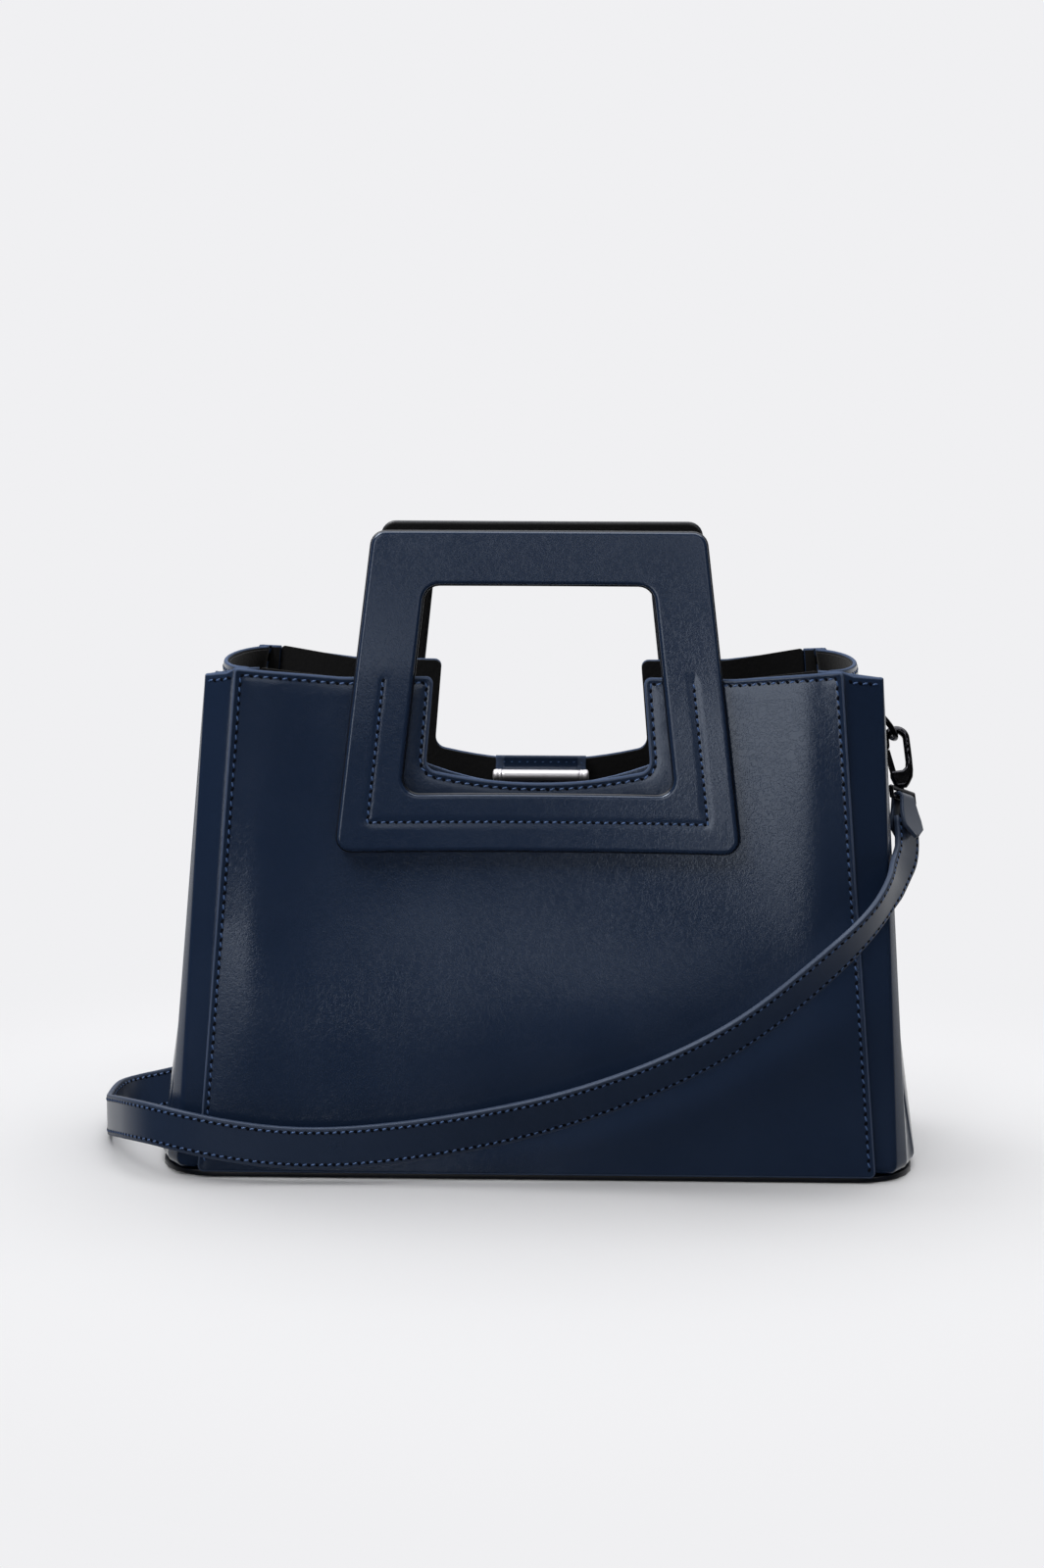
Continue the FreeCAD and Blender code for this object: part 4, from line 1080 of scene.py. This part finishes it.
for word, sign, degrees in (("right", 1, -32), ("left", -1, 0)):
    origin = Vector(joints[word + "_swivel"]["pos_m"])
    up = Vector(joints[word + "_swivel"]["axis"])
    thick = Vector(joints[word + "_gate_open"]["axis"]) * sign
    out = thick.cross(up) * sign

    def on_hook(across, along, deep):
        return origin + (out * across + up * along + thick * deep) * mm

    hook = cut_piece(word + "_claw", [claw_loop], claw_edge, claw_spacing, on_hook, [gunmetal])
    box = bmesh.new()
    bmesh.ops.convex_hull(box, input=[box.verts.new(on_hook(*corner)) for corner in gate_slot])
    cutter = show(box, word + "_gate_slot")
    slot = hook.modifiers.new("gate_slot", "BOOLEAN")
    slot.object = cutter
    slot.solver = "EXACT"
    baked(hook)
    bpy.data.objects.remove(cutter)
    attach(hook, word + "_hook", word + "_hook")
    turn = math.radians(degrees)
    flat = out * math.cos(turn) + thick * math.sin(turn)
    wide = thick * math.cos(turn) - out * math.sin(turn)
    drops = [k / 12 for k in range(13)]
    leg = [(flap_fold + flap_spread * drop ** 2, eye_low - flap_length * drop) for drop in drops]
    turns = np.linspace(0.2, math.pi - 0.2, 11)
    over = [(flap_fold * math.cos(t), eye_low + flap_fold * math.sin(t)) for t in turns]
    fold = leg[::-1] + over + [(-x, z) for x, z in leg]
    middles = [origin / mm + flat * x + up * z for x, z in fold]
    shares = [min(max((eye_low - z) / flap_length, 0), 1) for x, z in fold]
    halves = [flap_neck + flap_widening * min(2 * share, 1) for share in shares]
    halves = [half * min(1, flap_tip + flap_taper * (1 - share)) for half, share in zip(halves, shares)]
    wides = [wide[:]] * len(fold)
    tones = (strap_edge_tone, strap_tone)
    end, *_ = band(word + "_strap_flaps", middles, wides, halves, flap_half_thick, *tones)
    attach(end, word + "_strap_end", word + "_clasp_set")

# Shoulder strap
# One flat calf strap, sewn along both edges, from the right clasp across the front, round the left
# corner and back behind the bag to the left clasp.
strap_half, strap_half_thick = 9.0, 1.2
strap_row, strap_pitch = 6.9, 3.5
upright = (0, 0, 1)
strap_front_route = [
    ((155.72, -24.55, 150.68), (-0.574, -0.762, 0.299)),
    ((156.87, -29.83, 139.41), (-0.574, -0.762, 0.299)),
    ((152, -40.5, 131), (-0.46, -0.8, 0.38)),
    ((147.8, -52, 125), (-0.3, -0.78, 0.55)),
    ((140.8, -62.5, 116.5), (-0.2, -0.68, 0.7)),
    ((131, -67.4, 106.7), (-0.1, -0.6, 0.79)),
    ((119, -67.5, 95.2), (0, -0.56, 0.83)),
    ((103, -65.5, 80.1), (0, -0.55, 0.84)),
    ((84.2, -64.5, 65.6), (0, -0.53, 0.85)),
    ((62.8, -64, 53.3), (0, -0.5, 0.87)),
    ((38, -64, 42.2), (0, -0.45, 0.89)),
    ((9, -64, 31.9), (0, -0.35, 0.94)),
    ((-21, -63.7, 24.4), (0, -0.22, 0.98)),
    ((-48, -64, 19.5), (0, -0.1, 1)),
    ((-72, -64.5, 16.5), upright),
    ((-92, -65, 15.5), upright),
    ((-112, -65.4, 16.3), upright),
    ((-133, -65, 19.1), upright),
    ((-150, -62.5, 22), upright),
    ((-163.5, -54.8, 22.9), upright),
    ((-174.2, -42, 21), upright),
    ((-182.3, -25.5, 17.4), upright),
    ((-188.6, -9, 13.2), upright),
    ((-191, 4.5, 10), upright),
    ((-191, 12, 10), upright),
]
strap_back_route = [
    ((-148.44, 50.88, 169.5), (0.111, 0.545, 0.831)),
    ((-150.47, 61.74, 162.65), (0.111, 0.545, 0.831)),
    ((-148.5, 71, 154), (0.05, 0.4, 0.9)),
    ((-138.5, 75, 143.5), upright),
    ((-119.5, 75.5, 130), upright),
    ((-92, 71, 110.5), upright),
    ((-61, 67, 88.5), upright),
    ((-31, 66, 67.5), upright),
    ((-1, 67.5, 48.5), upright),
    ((27, 72, 32.5), upright),
    ((51, 80, 20), upright),
    ((71, 92, 12.5), upright),
    ((86, 108, 10), upright),
    ((92, 128.5, 9.8), upright),
    ((85, 148, 9.8), upright),
    ((68, 160.5, 9.8), upright),
    ((44, 164, 9.8), upright),
    ((14, 160, 9.8), upright),
    ((-18, 151.5, 9.8), upright),
    ((-50, 140.5, 9.8), upright),
    ((-81, 127, 9.8), upright),
    ((-109, 111, 9.8), upright),
    ((-133.5, 91, 9.8), upright),
    ((-154.5, 69.5, 9.4), (-0.2, 0.15, 1)),
    ((-171, 52.5, 9), (-0.35, 0.26, 0.9)),
    ((-181.5, 42.5, 9), (-0.35, 0.26, 0.9)),
    ((-188.2, 32, 9.5), (-0.2, 0.1, 0.97)),
    ((-191, 19.5, 10), upright),
    ((-191, 12, 10), upright),
]


def smooth_line(points):
    """Points along the NURBS curve that has these control points, in millimetres."""
    curve = bpy.data.curves.new("strap_line", "CURVE")
    curve.dimensions = "3D"
    spline = curve.splines.new("NURBS")
    spline.points.add(len(points) - 1)
    for point, place in zip(spline.points, points):
        point.co = (*(Vector(place) * mm), 1)
    spline.order_u = 3
    spline.use_endpoint_u = True
    spline.resolution_u = 8
    guide = bpy.data.objects.new("strap_line", curve)
    scene.collection.objects.link(guide)
    bpy.context.view_layer.update()
    data = bpy.data.meshes.new_from_object(guide.evaluated_get(bpy.context.evaluated_depsgraph_get()))
    line = np.array([vert.co[:] for vert in data.vertices]) / mm
    bpy.data.objects.remove(guide)
    bpy.data.curves.remove(curve)
    bpy.data.meshes.remove(data)
    return line


for word, route, clasp, blend_start, blend_end in (
    ("front", strap_front_route, "right", (0.112, -0.067, 0.09), (0.155, -0.035, 0.136)),
    ("back", strap_back_route, "left", (-0.12, 0.075, 0.115), (-0.15, 0.066, 0.16)),
):
    middles = smooth_line([point for point, wide in route])
    borders = [Vector(point) + Vector(wide).normalized() * strap_half for point, wide in route]
    edges = smooth_line(borders)
    halves = [strap_half] * len(middles)
    strap, middles, wides, ups = band(
        word + "_strap",
        middles,
        edges - middles,
        halves,
        strap_half_thick,
        strap_edge_tone,
        strap_tone,
    )
    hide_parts("strap_" + word + "_run")
    rows = []
    for face in (1, -1):
        for edge in (1, -1):
            row = middles + wides * strap_row * edge + ups * strap_half_thick * face
            rows.append((row, ups * face))
    stitches = sew(word + "_strap", rows, strap_pitch)
    for piece in [strap] + stitches:
        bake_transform(piece)
